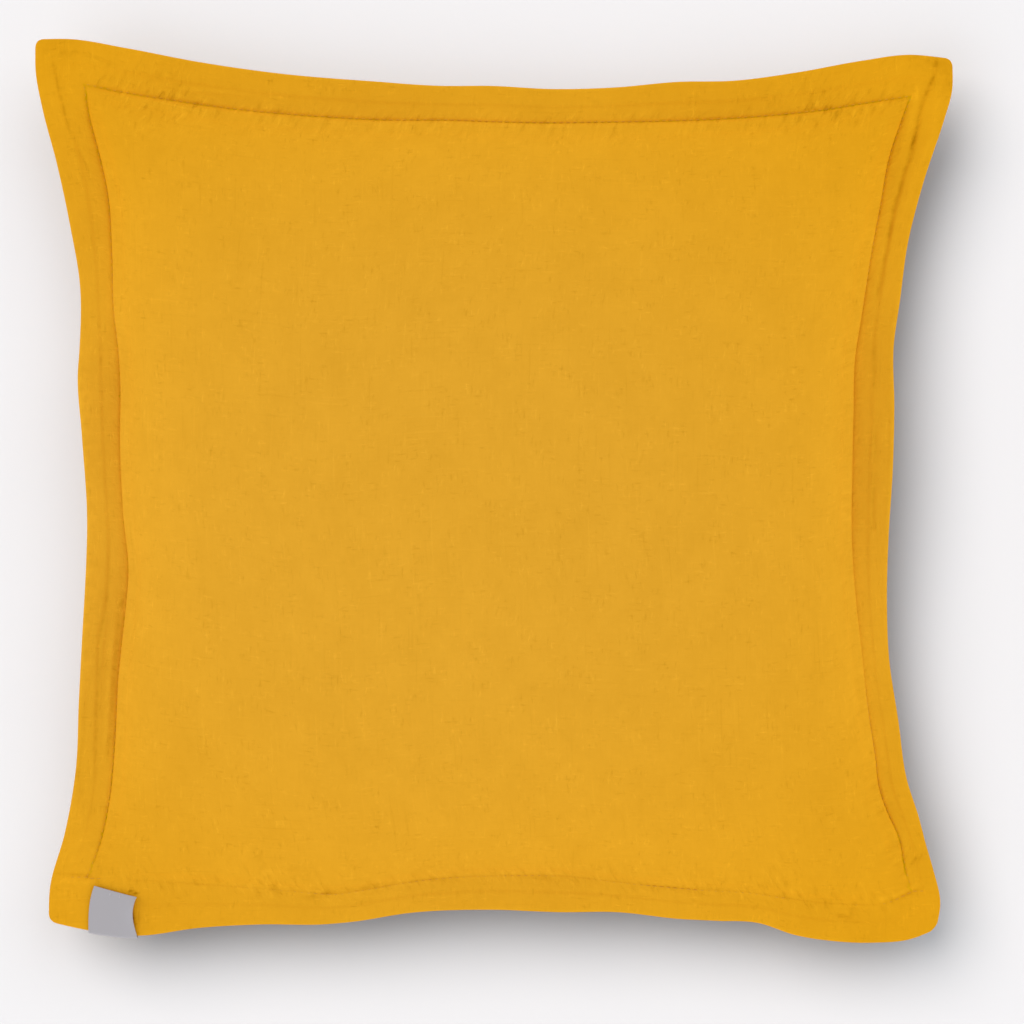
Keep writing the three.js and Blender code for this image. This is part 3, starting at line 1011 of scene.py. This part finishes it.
    def grid_lines(self) -> GridLines:
        """The panel's lines in either direction.

        Returns:
            The lines, closer together towards the stitch line.
        """
        even = np.arange(1, self.cells) / self.cells
        crowded = even - self.crowding * np.sin(2 * math.pi * even) / (2 * math.pi)
        return GridLines.over_all(crowded, np.array(self.flange_at))

    def half_thickness(self, at: np.ndarray) -> np.ndarray:
        """Half the flange's thickness.

        Args:
            at: shares of its width from the stitch line.

        Returns:
            Half the thickness at each, in millimetres.
        """
        rising = np.clip(at / self.seam_reach, 0, 1)
        puffed = self.seam_half + (self.flange_half - self.seam_half) * np.sin(rising * math.pi / 2)
        half = puffed + (self.allowance_half - self.flange_half) * eased(at, *self.allowance_from)
        turned = np.clip((at - self.fold_from) / (1 - self.fold_from), 0, 1)
        return half * np.sqrt(1 - turned**2)

    def slack(self, inward: np.ndarray) -> np.ndarray:
        """How much thicker the cover stays by the looser bottom stitching, at places inward of it."""
        outside = eased(-inward, self.seam_reach * self.flange_width, 0)
        return self.bottom_slack * np.where(inward > 0, eased(inward, self.slack_reach, 0), outside)

    def flange_half_at(self, lines: GridLines) -> np.ndarray:
        """Half the flange's thickness over a grid, pinched where the bottom stitching runs on sideways.

        Args:
            lines: the grid's lines.

        Returns:
            Half the thickness by row and column, in millimetres.
        """
        half = self.half_thickness(np.maximum(lines.out[:, None], lines.out[None, :]))
        from_left = lines.from_first_stitching(self.flange_width, self.square_width)
        from_bottom = self.square_width - from_left
        near = np.exp(-((from_bottom / self.run_out_reach) ** 2))
        sideways = np.where(lines.band == 1, 0, eased(lines.out, 0, 0.1))
        half = half * (1 - self.run_out_pinch * near[:, None] * sideways[None, :])
        inside = eased(np.minimum(from_left, self.square_width - from_left), 0, self.slack_reach)
        return half + self.slack(from_bottom)[:, None] * inside[None, :]

    def middle(self, lines: GridLines) -> np.ndarray:
        """The middle surface at every crossing of a grid's lines.

        Args:
            lines: the grid's lines.

        Returns:
            Points by row, column and axis, in millimetres.
        """
        found = np.zeros((len(lines.band), len(lines.band), 3))
        bands = sorted(set(lines.band))
        for row in bands:
            for column in bands:
                rows, columns = np.flatnonzero(lines.band == row), np.flatnonzero(lines.band == column)
                block = self.outline.surface(row, column, lines.share[rows], lines.share[columns])
                found[np.ix_(rows, columns)] = block
        return found

    def filling(self, lines: GridLines) -> tuple[np.ndarray, np.ndarray]:
        """The filled square's rise, and the push of its walls outwards.

        Args:
            lines: the grid's lines.

        Returns:
            The rise from 0 to 1 by row and column, and the push by row, column and axis.
        """
        place = np.select([lines.band == 0, lines.band == 2], [0.0, 1.0], lines.share)
        away = 1 - np.abs(2 * place - 1)
        near = place < 0.5
        o = self.outline

        def rise(first: Side, second: Side) -> tuple[np.ndarray, np.ndarray]:
            """The rise and the outward push between two sides that face each other.

            Args:
                first: the side at the grid's first line.
                second: the side at its last.

            Returns:
                The rise from 0 to 1 and the push in millimetres, one of each to a line.
            """
            fullness = np.where(near, first.fullness, second.fullness)
            softness = np.where(near, first.softness, second.softness)
            bulge = np.where(near, -first.bulge, second.bulge)
            reach = away / self.bulge_reach
            started = 1 - np.exp(-((away * self.square_width / 2 / softness) ** 2))
            return started * (away * (2 - away)) ** fullness, bulge * reach * np.exp(1 - reach)

        across, push_x = rise(o.left, o.right)
        down, push_y = rise(o.top, o.bottom)
        push = np.zeros((len(place), len(place), 3))
        push[:, :, 0] = push_x[None, :] * down[:, None]
        push[:, :, 1] = -push_y[:, None] * across[None, :]
        return down[:, None] * across[None, :], push

    def settle(self, height: np.ndarray) -> np.ndarray:
        """Flattens what would reach below the surface that the cushion lies on."""
        rounded = (height + self.flat_blend) ** 2 / (4 * self.flat_blend)
        return np.where(height <= -self.flat_blend, 0.0, np.where(height >= self.flat_blend, height, rounded))

    def face_points(self, face: Face, lines: GridLines) -> np.ndarray:
        """One face of the cover before its cloth swells.

        Args:
            face: the face.
            lines: the grid's lines.

        Returns:
            Points by row, column and axis, in millimetres.
        """
        rise, push = self.filling(lines)
        points = self.middle(lines) + push
        crown = self.front_crown if face is Face.FRONT else self.back_crown
        points[:, :, 2] += face.value * (self.flange_half_at(lines) + rise * crown)
        if face is Face.BACK:
            points[:, :, 2] = self.settle(points[:, :, 2])
        return points

    def grid_mesh(self, name: str, points: np.ndarray, face: Face) -> tuple[bpy.types.Object, np.ndarray]:
        """Makes a grid of these points that faces outwards.

        Args:
            name: the new object's name.
            points: its points by row, column and axis, in millimetres.
            face: the face of the cover that it belongs to.

        Returns:
            The grid, and for each of its own points the number of its row and column taken as one.
        """
        made = add_grid(name, *points.shape[:2])
        order = grid_points(made.data, np.arange(points[:, :, 0].size).reshape(points.shape[:2]))
        place_points(made.data, points.reshape(-1, 3)[order] * MM)
        if face is Face.BACK:
            pick(made)
            bpy.ops.object.mode_set(mode="EDIT")
            bpy.ops.mesh.select_all(action="SELECT")
            bpy.ops.mesh.flip_normals()
            bpy.ops.object.mode_set(mode="OBJECT")
        return made, order

    def swell(self, face: Face, lines: GridLines) -> np.ndarray:
        """Lets the filling press one face out as cloth that is held along the stitch line.

        Args:
            face: the face of the cover.
            lines: the fine grid's lines.

        Returns:
            How far each crossing of the fine grid's lines moves, in millimetres.
        """
        moved = np.zeros((len(lines.band), len(lines.band), 3))
        coarse = GridLines.over_square(self.cloth_cells)
        start = self.face_points(face, coarse)
        cloth, order = self.grid_mesh(face.name.lower() + "_cloth", start, face)
        row, column = np.divmod(order, self.cloth_cells + 1)
        on_edge = (np.minimum(row, column) == 0) | (np.maximum(row, column) == self.cloth_cells)
        held = np.flatnonzero(on_edge)
        cloth.vertex_groups.new(name="stitch_line").add([int(i) for i in held], 1.0, "REPLACE")
        pick(cloth)
        bpy.ops.object.modifier_add(type="CLOTH")
        weave = cloth.modifiers[-1]
        weave.settings.quality = self.cloth_quality
        weave.settings.mass = self.cloth_mass
        weave.settings.tension_stiffness = weave.settings.compression_stiffness = self.cloth_stretch
        weave.settings.shear_stiffness = self.cloth_shear
        weave.settings.bending_stiffness = self.cloth_bend
        weave.settings.use_pressure = True
        weave.settings.uniform_pressure_force = self.cloth_pressure
        weave.settings.vertex_group_mass = "stitch_line"
        weave.settings.effector_weights.gravity = 0
        weave.collision_settings.use_collision = False
        weave.point_cache.frame_start, weave.point_cache.frame_end = 1, self.cloth_frames
        for frame_number in range(1, self.cloth_frames + 1):
            bpy.context.scene.frame_set(frame_number)
        bpy.ops.object.modifier_apply(modifier=weave.name)
        bpy.context.scene.frame_set(1)
        found = np.zeros_like(start)
        found.reshape(-1, 3)[order] = points_of(cloth.data) / MM
        bpy.data.objects.remove(cloth)
        step = found - start
        step *= np.minimum(1, self.cloth_cap / np.maximum(np.linalg.norm(step, axis=2), 1e-6))[:, :, None]
        if face is Face.BACK:
            step *= eased(start[:, :, 2:], 0, self.lying_fade)
        inside = np.flatnonzero(lines.band == 1)
        down = through(coarse.share, step, lines.share[inside])
        across = through(coarse.share, down.transpose(1, 0, 2), lines.share[inside]).transpose(1, 0, 2)
        moved[np.ix_(inside, inside)] = across
        return moved

    def pressed(self, face: Face, points: np.ndarray) -> tuple[np.ndarray, np.ndarray]:
        """Presses the creases into the front.

        Args:
            face: the face of the cover. The back is left plain.
            points: its points by row, column and axis, in millimetres.

        Returns:
            The creased points, and the painted shade at each of them: how much darker it is painted, or paler
            where it is below zero, a painted highlight.
        """
        points, darker = points.copy(), np.zeros(points.shape[:2])
        for crease in self.creases if face is Face.FRONT else ():
            strength = crease.strength(points[:, :, 0], points[:, :, 1])
            points[:, :, 2] += crease.lift * strength
            darker += crease.shade * strength
        return points, darker

    def cloth_map(self, points: np.ndarray) -> np.ndarray:
        """Where each point lies on the flat cloth.

        Args:
            points: the panel's points by row, column and axis, in millimetres.

        Returns:
            Places by row, column and axis, in metres from the panel's middle.
        """
        middle = points.shape[0] // 2
        steps_x = np.linalg.norm(np.diff(points, axis=1), axis=2)
        steps_y = np.linalg.norm(np.diff(points, axis=0), axis=2)
        u = np.concatenate([np.zeros((points.shape[0], 1)), np.cumsum(steps_x, axis=1)], axis=1)
        v = np.concatenate([np.zeros((1, points.shape[1])), np.cumsum(steps_y, axis=0)], axis=0)
        u, v = u - u[:, middle : middle + 1], v[middle : middle + 1] - v
        return np.stack([u, v], axis=2) * MM

    def seam_map(self, points: np.ndarray, lines: GridLines) -> tuple[np.ndarray, np.ndarray, np.ndarray]:
        """Places along and away from the nearest stitch line, and how strongly the cloth puckers there.

        Args:
            points: the panel's points, in millimetres.
            lines: the panel's grid lines.

        Returns:
            The places in metres, the puckering, and how strong the painted shade along the stitching is.
        """
        first = lines.from_first_stitching(self.flange_width, self.square_width)
        last = self.square_width - first
        o = self.outline
        n = len(first)
        away = np.stack(
            [
                np.broadcast_to(first[:, None], (n, n)), np.broadcast_to(last[:, None], (n, n)),
                np.broadcast_to(first[None, :], (n, n)), np.broadcast_to(last[None, :], (n, n)),
            ]
        )
        nearest = np.argmin(away, axis=0)
        inward = np.min(away, axis=0)
        along = np.where(nearest < 2, points[:, :, 0], points[:, :, 1] + self.square_width)
        sides = (o.top, o.bottom, o.left, o.right)
        # sewn is how strongly each side's stitching crease is darkened by painted shade.
        sewn = np.array([side.sewn for side in sides])[nearest]
        strength = np.array([side.puckers for side in sides])[nearest]
        reach_in, reach_out = self.pucker_reach
        fading = np.where(inward > 0, eased(inward, reach_in, 1.5), eased(-inward, reach_out, 1.0))
        strength = strength * fading
        for gather in self.gathers:
            apart = np.hypot(points[:, :, 0] - gather.centre[0], points[:, :, 1] - gather.centre[1])
            strength += gather.more * np.exp(-((apart / gather.reach) ** 2))
        second = np.sort(away, axis=0)[1]
        strength *= eased(second - inward, 0, self.corner_fade)
        return np.stack([along, inward], axis=2) * MM, strength, sewn

    def panel(self, face: Face) -> bpy.types.Object:
        """Builds one face as a mesh, with its UV maps and the puckering of its cloth.

        Args:
            face: the face.

        Returns:
            The panel, open along its outer edge.
        """
        lines = self.grid_lines()
        points, darker = self.pressed(face, self.face_points(face, lines) + self.swell(face, lines))
        made, order = self.grid_mesh(face.name.lower() + "_panel", points, face)
        offset = (0.0, 0.0) if face is Face.FRONT else self.back_cut
        write_uv(made.data, "cloth", (self.cloth_map(points) + offset).reshape(-1, 2)[order])
        seam, puckers, sewn = self.seam_map(points, lines)
        write_uv(made.data, "seam", (seam + offset).reshape(-1, 2)[order])
        # creases holds the creases' painted shade and highlights, sewn the strength of the stitching's
        # painted shade.
        for name, values in (("puckers", puckers), ("sewn", sewn), ("creases", darker)):
            made.data.attributes.new(name, "FLOAT", "POINT").data.foreach_set("value", values.ravel()[order])
        return made

    def build(self, cloth: bpy.types.Material) -> bpy.types.Object:
        """Builds the cover as one closed padded piece.

        Args:
            cloth: the material it is made in.

        Returns:
            The finished piece.
        """
        front, back = self.panel(Face.FRONT), self.panel(Face.BACK)
        pick(front, back)
        bpy.ops.object.join()
        made = bpy.context.object
        made.name = made.data.name = "filled_cover"
        bpy.ops.object.mode_set(mode="EDIT")
        bpy.ops.mesh.select_all(action="DESELECT")
        bpy.ops.mesh.select_mode(type="VERT")
        bpy.ops.mesh.select_non_manifold()
        bpy.ops.mesh.remove_doubles(threshold=MERGE_WITHIN)
        bpy.ops.object.mode_set(mode="OBJECT")
        smooth_shaded(made)
        dress(made, cloth)
        finish_piece(made, "cover")
        return made


# The sewing


@dataclass
class Stitching:
    """Short machine stitches, each a thread whose ends dip into the cloth.

    pitch is from one stitch to the next, length and thread are how long and how thick each is, and dip is
    how far its ends go down.
    """

    pitch: float = 3.4
    length: float = 2.7
    thread: float = 0.36
    dip: float = 0.3

    def stitch(self) -> tuple[np.ndarray, list[tuple[int, ...]]]:
        """Models one stitch along X.

        Returns:
            Its points in millimetres, and its faces.
        """
        clear_selection()
        lying = (0, math.pi / 2, 0)
        bpy.ops.mesh.primitive_uv_sphere_add(segments=6, ring_count=5, radius=0.5, rotation=lying)
        model = bpy.context.object
        bpy.ops.object.transform_apply(location=False, rotation=True, scale=False)
        points = points_of(model.data) * (self.length, self.thread, self.thread)
        points[:, 2] -= self.dip * (2 * points[:, 0] / self.length) ** 2
        faces = [tuple(face.vertices) for face in model.data.polygons]
        bpy.data.objects.remove(model)
        return points, faces

    def sewn(self, name: str, centres: np.ndarray, ways: np.ndarray, up: np.ndarray) -> bpy.types.Object:
        """Sets a stitch at each place, all in one mesh.

        Args:
            name: the new object's name.
            centres: one centre to a row, in millimetres.
            ways: the direction of each stitch.
            up: the direction out of the cloth at each stitch.

        Returns:
            The new object.
        """
        points, faces = self.stitch()
        ways = ways / np.linalg.norm(ways, axis=1)[:, None]
        beside = np.cross(up, ways)
        beside = beside / np.linalg.norm(beside, axis=1)[:, None]
        frames = np.stack([ways, beside, np.cross(ways, beside)], axis=1)
        placed = centres[:, None, :] + np.einsum("pa,sab->spb", points, frames)
        mesh = bpy.data.meshes.new(name)
        shift = len(points)
        sewn = [tuple(i + k * shift for i in face) for k in range(len(centres)) for face in faces]
        mesh.from_pydata((placed.reshape(-1, 3) * MM).tolist(), [], sewn)
        made = bpy.data.objects.new(name, mesh)
        bpy.context.scene.collection.objects.link(made)
        smooth_shaded(made)
        return made


@dataclass
class FlangeStitching(Stitching):
    """The stitching that parts the flange from the filling, on both faces of the cover.

    set_out is how far outside the stitch line it runs, bottom_sink is how much deeper the bottom row lies in
    the cloth, and run_outs are how far across the flange that row runs on at its left and right ends.
    """

    cover: FilledCover = field(default_factory=lambda: FilledCover(Outline()))
    set_out: float = 0.5
    bottom_sink: float = 0.27
    run_outs: tuple[float, float] = (0.9, 0.55)

    def row(self, side: Side) -> np.ndarray:
        """The points that a side's stitching follows.

        Args:
            side: the side of the cover.

        Returns:
            One point to a row, in millimetres.
        """
        outline = self.cover.outline
        points = outline.line(side, Line.STITCH, np.linspace(0, 1, 400))
        points[:, :2] -= np.array(side.inward) * self.set_out
        if side is outline.bottom:
            before = self.run_out(0, outline.left, self.run_outs[0])
            after = self.run_out(1, outline.right, self.run_outs[1])
            points = np.concatenate([before[::-1], points, after])
        return points

    def run_out(self, end: int, outer: Side, share: float) -> np.ndarray:
        """Points where the bottom stitching runs on from a corner towards a side's outer edge.

        Args:
            end: 0 for the left corner, 1 for the right one.
            outer: the side that it runs towards.
            share: how far across the flange it goes.

        Returns:
            One point to a row, in millimetres.
        """
        outline = self.cover.outline
        near = outline.line(outline.bottom, Line.STITCH, np.array([float(end)]))[0]
        far = outline.edge(outer, np.array([outline.crossing(outer, 1)]))[0]
        return near + (far - near) * np.linspace(0.04, share, 30)[:, None]

    def build(self, thread: bpy.types.Material) -> bpy.types.Object:
        """Sews all four sides, front and back.

        Args:
            thread: the thread's material.

        Returns:
            The finished piece.
        """
        outline = self.cover.outline
        centres, ways, ups = [], [], []
        for side in (outline.top, outline.left, outline.right, outline.bottom):
            points = self.row(side)
            steps = np.linalg.norm(np.diff(points, axis=0), axis=1)
            run = np.concatenate([[0], np.cumsum(steps)])
            at = np.arange(self.pitch / 2, run[-1], self.pitch)
            centre = np.stack([np.interp(at, run, points[:, k]) for k in range(3)], axis=1)
            ahead = np.stack([np.interp(at + 0.5, run, points[:, k]) for k in range(3)], axis=1)
            behind = np.stack([np.interp(at - 0.5, run, points[:, k]) for k in range(3)], axis=1)
            half = float(self.cover.half_thickness(np.array(self.set_out / self.cover.flange_width)))
            if side is outline.bottom:
                half += float(self.cover.slack(np.array(-self.set_out))) - self.bottom_sink
            for face in Face:
                up = np.array([0.0, 0.0, float(face.value)])
                centres.append(centre + up * half)
                ways.append(ahead - behind)
                ups.append(np.broadcast_to(up, centre.shape))
        made = self.sewn("flange_stitching", *(np.concatenate(x) for x in (centres, ways, ups)))
        dress(made, thread)
        finish_piece(made)
        return made


# The label


@dataclass
class TabLabel:
    """A short ribbon folded over the flange's bottom edge, tacked down near its top.

    left and right are its sides, as shares of the bottom stitch line's length. front_top and back_top are
    the left and right ends of its two leaves, as shares of the flange's width. gap is how far it stands off
    the flange, and turn_depth is how far its fold stands out, as a share of half its height. curl,
    corner_lift, waist and slant bend the front leaf: its right side rises, its top right corner lifts, its
    right side is drawn in at the middle, and its left side leans at the top. tacks are the pale stitches'
    places, across the leaf and down it.
    """

    cover: FilledCover
    left: float = 0.001
    right: float = 0.06
    front_top: tuple[float, float] = (0.15, 0.31)
    back_top: tuple[float, float] = (0.2, 0.3)
    thickness: float = 0.5
    gap: float = 0.4
    turn_depth: float = 0.55
    curl: float = 2.2
    corner_lift: float = 0.5
    waist: float = 2.0
    slant: float = 3.0
    columns: int = 30
    leaf_rows: int = 26
    fold_rows: int = 13
    ribbon: tuple[float, float] = (24.5, 44.0)
    tacks: tuple[tuple[float, float], ...] = ((0.42, 0.085), (0.64, 0.085))

    def strip(self, across: np.ndarray, at: np.ndarray) -> np.ndarray:
        """The bottom flange's middle surface at places given one by one, in millimetres."""
        surface = self.cover.outline.surface
        return np.array([surface(2, 1, np.array([a]), np.array([s]))[0, 0] for s, a in zip(across, at)])

    def leaf(self, face: Face, share: np.ndarray, down: np.ndarray) -> np.ndarray:
        """Points of one leaf.

        Args:
            face: the face of the cover that it lies on.
            share: places across the ribbon from its left edge.
            down: places down the leaf from its end to the flange's edge.

        Returns:
            One point to a row, in millimetres.
        """
        first, second = self.front_top if face is Face.FRONT else self.back_top
        top = first + (second - first) * share
        at = top + (1 - top) * down
        drawn_in = self.waist * share**3 * np.sin(math.pi * down**0.85)
        drawn_in = drawn_in - self.slant * (1 - share) ** 2 * (1 - down) ** 3
        if face is Face.BACK:
            drawn_in = 0 * share
        outline = self.cover.outline
        length = np.linalg.norm(np.subtract(*outline.ends(outline.bottom, Line.STITCH)))
        across = self.left + (self.right - self.left) * share - drawn_in / length
        points = self.strip(across, at)
        away = self.cover.allowance_half + self.gap + self.thickness / 2
        if face is Face.FRONT:
            away = away + self.curl * share**5 * np.sin(math.pi * down**0.8)
            away = away + self.corner_lift * share**4 * eased(down, 0.25, 0)
        points[:, 2] += face.value * away
        return points

    def turn(self, share: np.ndarray, angle: np.ndarray) -> np.ndarray:
        """Points where the ribbon goes round the flange's edge.

        Args:
            share: places across the ribbon from its left edge.
            angle: how far round each is, in radians, from a right angle over the edge to one under it.

        Returns:
            One point to a row, in millimetres.
        """
        across = self.left + (self.right - self.left) * share
        edge, inner = (self.strip(across, np.full(len(share), at)) for at in (1.0, 0.9))
        outward = (edge - inner) * (1, 1, 0)
        outward = outward / np.linalg.norm(outward, axis=1)[:, None]
        away = self.cover.allowance_half + self.gap + self.thickness / 2
        points = edge + outward * (self.turn_depth * away * np.cos(angle))[:, None]
        points[:, 2] += away * np.sin(angle)
        return points

    def points(self) -> np.ndarray:
        """The ribbon's middle surface.

        Returns:
            Points by row from the front leaf's end, column and axis, in millimetres.
        """
        share = np.linspace(0, 1, self.columns + 1)
        full = np.ones(len(share))
        downs = np.linspace(0, 1, self.leaf_rows)
        turns = np.linspace(math.pi / 2, -math.pi / 2, self.fold_rows + 2)[1:-1]
        rows = [self.leaf(Face.FRONT, share, full * down) for down in downs]
        rows += [self.turn(share, full * angle) for angle in turns]
        rows += [self.leaf(Face.BACK, share, full * down) for down in reversed(downs)]
        return np.array(rows)

    def build(self, ribbon: bpy.types.Material) -> bpy.types.Object:
        """Builds the ribbon.

        Args:
            ribbon: its material.

        Returns:
            The finished piece.
        """
        points = self.points()
        made = add_grid("folded_label", *points.shape[:2])
        order = grid_points(made.data, np.arange(points[:, :, 0].size).reshape(points.shape[:2]))
        place_points(made.data, points.reshape(-1, 3)[order] * MM)
        rows, columns = points.shape[:2]
        wide, long = self.ribbon
        flat = np.stack(np.meshgrid(np.linspace(0, wide, columns), np.linspace(0, -long, rows)), 2)
        write_uv(made.data, "cloth", flat.reshape(-1, 2)[order] * MM)
        pick(made)
        bpy.ops.object.modifier_add(type="SOLIDIFY")
        made.modifiers[-1].thickness = self.thickness * MM
        made.modifiers[-1].offset = 0
        bpy.ops.object.modifier_apply(modifier=made.modifiers[-1].name)
        bpy.ops.object.shade_smooth_by_angle(angle=math.radians(40))
        dress(made, ribbon)
        finish_piece(made, "tab_label")
        return made

    def build_tacks(self, thread: bpy.types.Material) -> bpy.types.Object:
        """Sews the two short pale stitches near the front leaf's end.

        Args:
            thread: the thread's material.

        Returns:
            The finished piece.
        """
        share = np.array([tack[0] for tack in self.tacks])
        down = np.array([tack[1] for tack in self.tacks])
        up = np.broadcast_to(np.array([0.0, 0.0, 1.0]), (len(share), 3))
        sewing = Stitching(length=1.9, thread=0.4, dip=0.3)
        centres = self.leaf(Face.FRONT, share, down) + up * (self.thickness / 2 + 0.1)
        ways = self.leaf(Face.FRONT, share, down + 0.05) - self.leaf(Face.FRONT, share, down - 0.05)
        made = sewing.sewn("label_tacks", centres, ways, up)
        dress(made, thread)
        finish_piece(made)
        return made


# The studio


class Reach(Enum):
    """What a lamp shines on."""

    FLOOR = "floor"
    CUSHION = "cushion"


@dataclass(frozen=True)
class Lamp:
    """A broad soft lamp.

    tilt is its angle from straight overhead, heading is the side that it hangs on, in degrees
    anticlockwise from the right, and spread is how wide it looks from below.
    """

    name: str
    reach: Reach
    tilt: float
    heading: float
    strength: float
    colour: Triple = (1.0, 1.0, 1.0)
    spread: float = 45.0


@dataclass
class Studio:
    """A pale floor, soft lamps and the camera, which looks straight down at the front.

    centre is the place under the camera, and view_width is how much it sees at focus_height. room is the
    strength of the even light from all round.
    """

    floor_width: float = 12000.0
    floor_colour: Colour = (0.3055, 0.301, 0.305, 1.0)
    centre: tuple[float, float] = (9.0, -11.0)
    view_width: float = 512.0
    lens: float = 120.0
    sensor: float = 36.0
    focus_height: float = 43.0
    room: float = 0.595
    lamps: tuple[Lamp, ...] = (
        Lamp("floor_key", Reach.FLOOR, 35, 135, 1.7, (1.06, 1.0, 0.95)),
        Lamp("floor_top", Reach.FLOOR, 35, 90, 0.25, (0.92, 1.0, 1.07)),
        Lamp("floor_left", Reach.FLOOR, 35, 180, 0.21, (0.92, 1.0, 1.07)),
        Lamp("floor_lower_left", Reach.FLOOR, 35, 225, 0.39, (0.92, 1.0, 1.07)),
        Lamp("floor_upper_right", Reach.FLOOR, 35, 45, 0.43, (0.92, 1.0, 1.07)),
        Lamp("cushion_left", Reach.CUSHION, 68, 180, 0.305),
        Lamp("cushion_right", Reach.CUSHION, 68, 0, 0.27),
        Lamp("cushion_top", Reach.CUSHION, 68, 90, 0.24),
        Lamp("cushion_bottom", Reach.CUSHION, 68, 270, 0.27),
    )

    def build_floor(self) -> bpy.types.Object:
        """Lays the floor that the cushion lies on.

        Returns:
            The floor.
        """
        clear_selection()
        bpy.ops.mesh.primitive_plane_add(size=self.floor_width * MM, location=(0, 0, 0))
        floor = bpy.context.object
        floor.name = floor.data.name = "floor"
        paint = bpy.data.materials.new("pale_floor")
        paint.use_nodes = True
        shader = paint.node_tree.nodes["Principled BSDF"]
        shader.inputs["Base Color"].default_value = self.floor_colour
        shader.inputs["Roughness"].default_value = 1.0
        shader.inputs["Specular IOR Level"].default_value = 0.0
        dress(floor, paint)
        return floor

    def build_lamp(self, lamp: Lamp, floor: bpy.types.Object) -> bpy.types.Object:
        """Hangs one lamp, which shines either on the floor alone or on all but the floor.

        Args:
            lamp: its place, strength and colour.
            floor: the floor.

        Returns:
            The lamp.
        """
        tilt, heading = math.radians(lamp.tilt), math.radians(lamp.heading)
        aside = math.sin(tilt)
        toward = Vector((aside * math.cos(heading), aside * math.sin(heading), math.cos(tilt)))
        bpy.ops.object.light_add(type="SUN", location=toward * 2)
        made = bpy.context.object
        made.name = made.data.name = lamp.name
        made.data.energy = lamp.strength * math.pi
        made.data.angle = math.radians(lamp.spread)
        made.data.color = lamp.colour
        made.rotation_euler = toward.to_track_quat("Z", "Y").to_euler()
        lit = bpy.data.collections.new("lit_by_" + lamp.name)
        lit.objects.link(floor)
        if lamp.reach is Reach.CUSHION:
            lit.collection_objects[0].light_linking.link_state = "EXCLUDE"
        made.light_linking.receiver_collection = lit
        return made

    def build_lights(self, floor: bpy.types.Object) -> None:
        """Hangs the lamps in an even pale room.

        Args:
            floor: the floor.
        """
        for lamp in self.lamps:
            self.build_lamp(lamp, floor)
        world = bpy.data.worlds.new("room")
        world.use_nodes = True
        world.node_tree.nodes["Background"].inputs["Color"].default_value = (1, 1, 1, 1)
        world.node_tree.nodes["Background"].inputs["Strength"].default_value = self.room
        bpy.context.scene.world = world

    def build_camera(self) -> bpy.types.Object:
        """Sets the camera over the front.

        Returns:
            The camera.
        """
        away = self.view_width * self.lens / self.sensor
        place = Vector((self.centre[0], self.centre[1], self.focus_height + away)) * MM
        bpy.ops.object.camera_add(location=place, rotation=(0, 0, 0))
        camera = bpy.context.object
        camera.name = "front_camera"
        camera.data.lens = self.lens
        camera.data.sensor_width = self.sensor
        camera.data.dof.use_dof = False
        camera.data.clip_start, camera.data.clip_end = 0.01, 20.0
        bpy.context.scene.camera = camera
        return camera

    def build(self) -> None:
        """Builds the floor, the lights and the camera."""
        self.build_lights(self.build_floor())
        self.build_camera()
        bpy.context.scene.view_settings.view_transform = "Standard"
        bpy.context.scene.view_settings.look = "None"


def main() -> None:
    """Builds every piece in order."""
    logging.basicConfig(level=logging.INFO, format="%(name)s: %(message)s")
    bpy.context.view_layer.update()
    cover = FilledCover(Outline())
    label = TabLabel(cover)
    thread = ThreadFinish("flange_thread", (0.7, 0.34, 0.008, 1.0))
    pieces = [
        cover.build(GauzeFinish().material(crinkle_group())),
        FlangeStitching(cover=cover).build(thread.material()),
        label.build(RibbonFinish().material()),
        label.build_tacks(ThreadFinish("tack_thread", (0.55, 0.53, 0.56, 1.0)).material()),
    ]
    for piece in pieces:
        log.info("%s: %d faces", piece.name, len(piece.data.polygons))
    Studio().build()


if __name__ == "__main__":
    main()
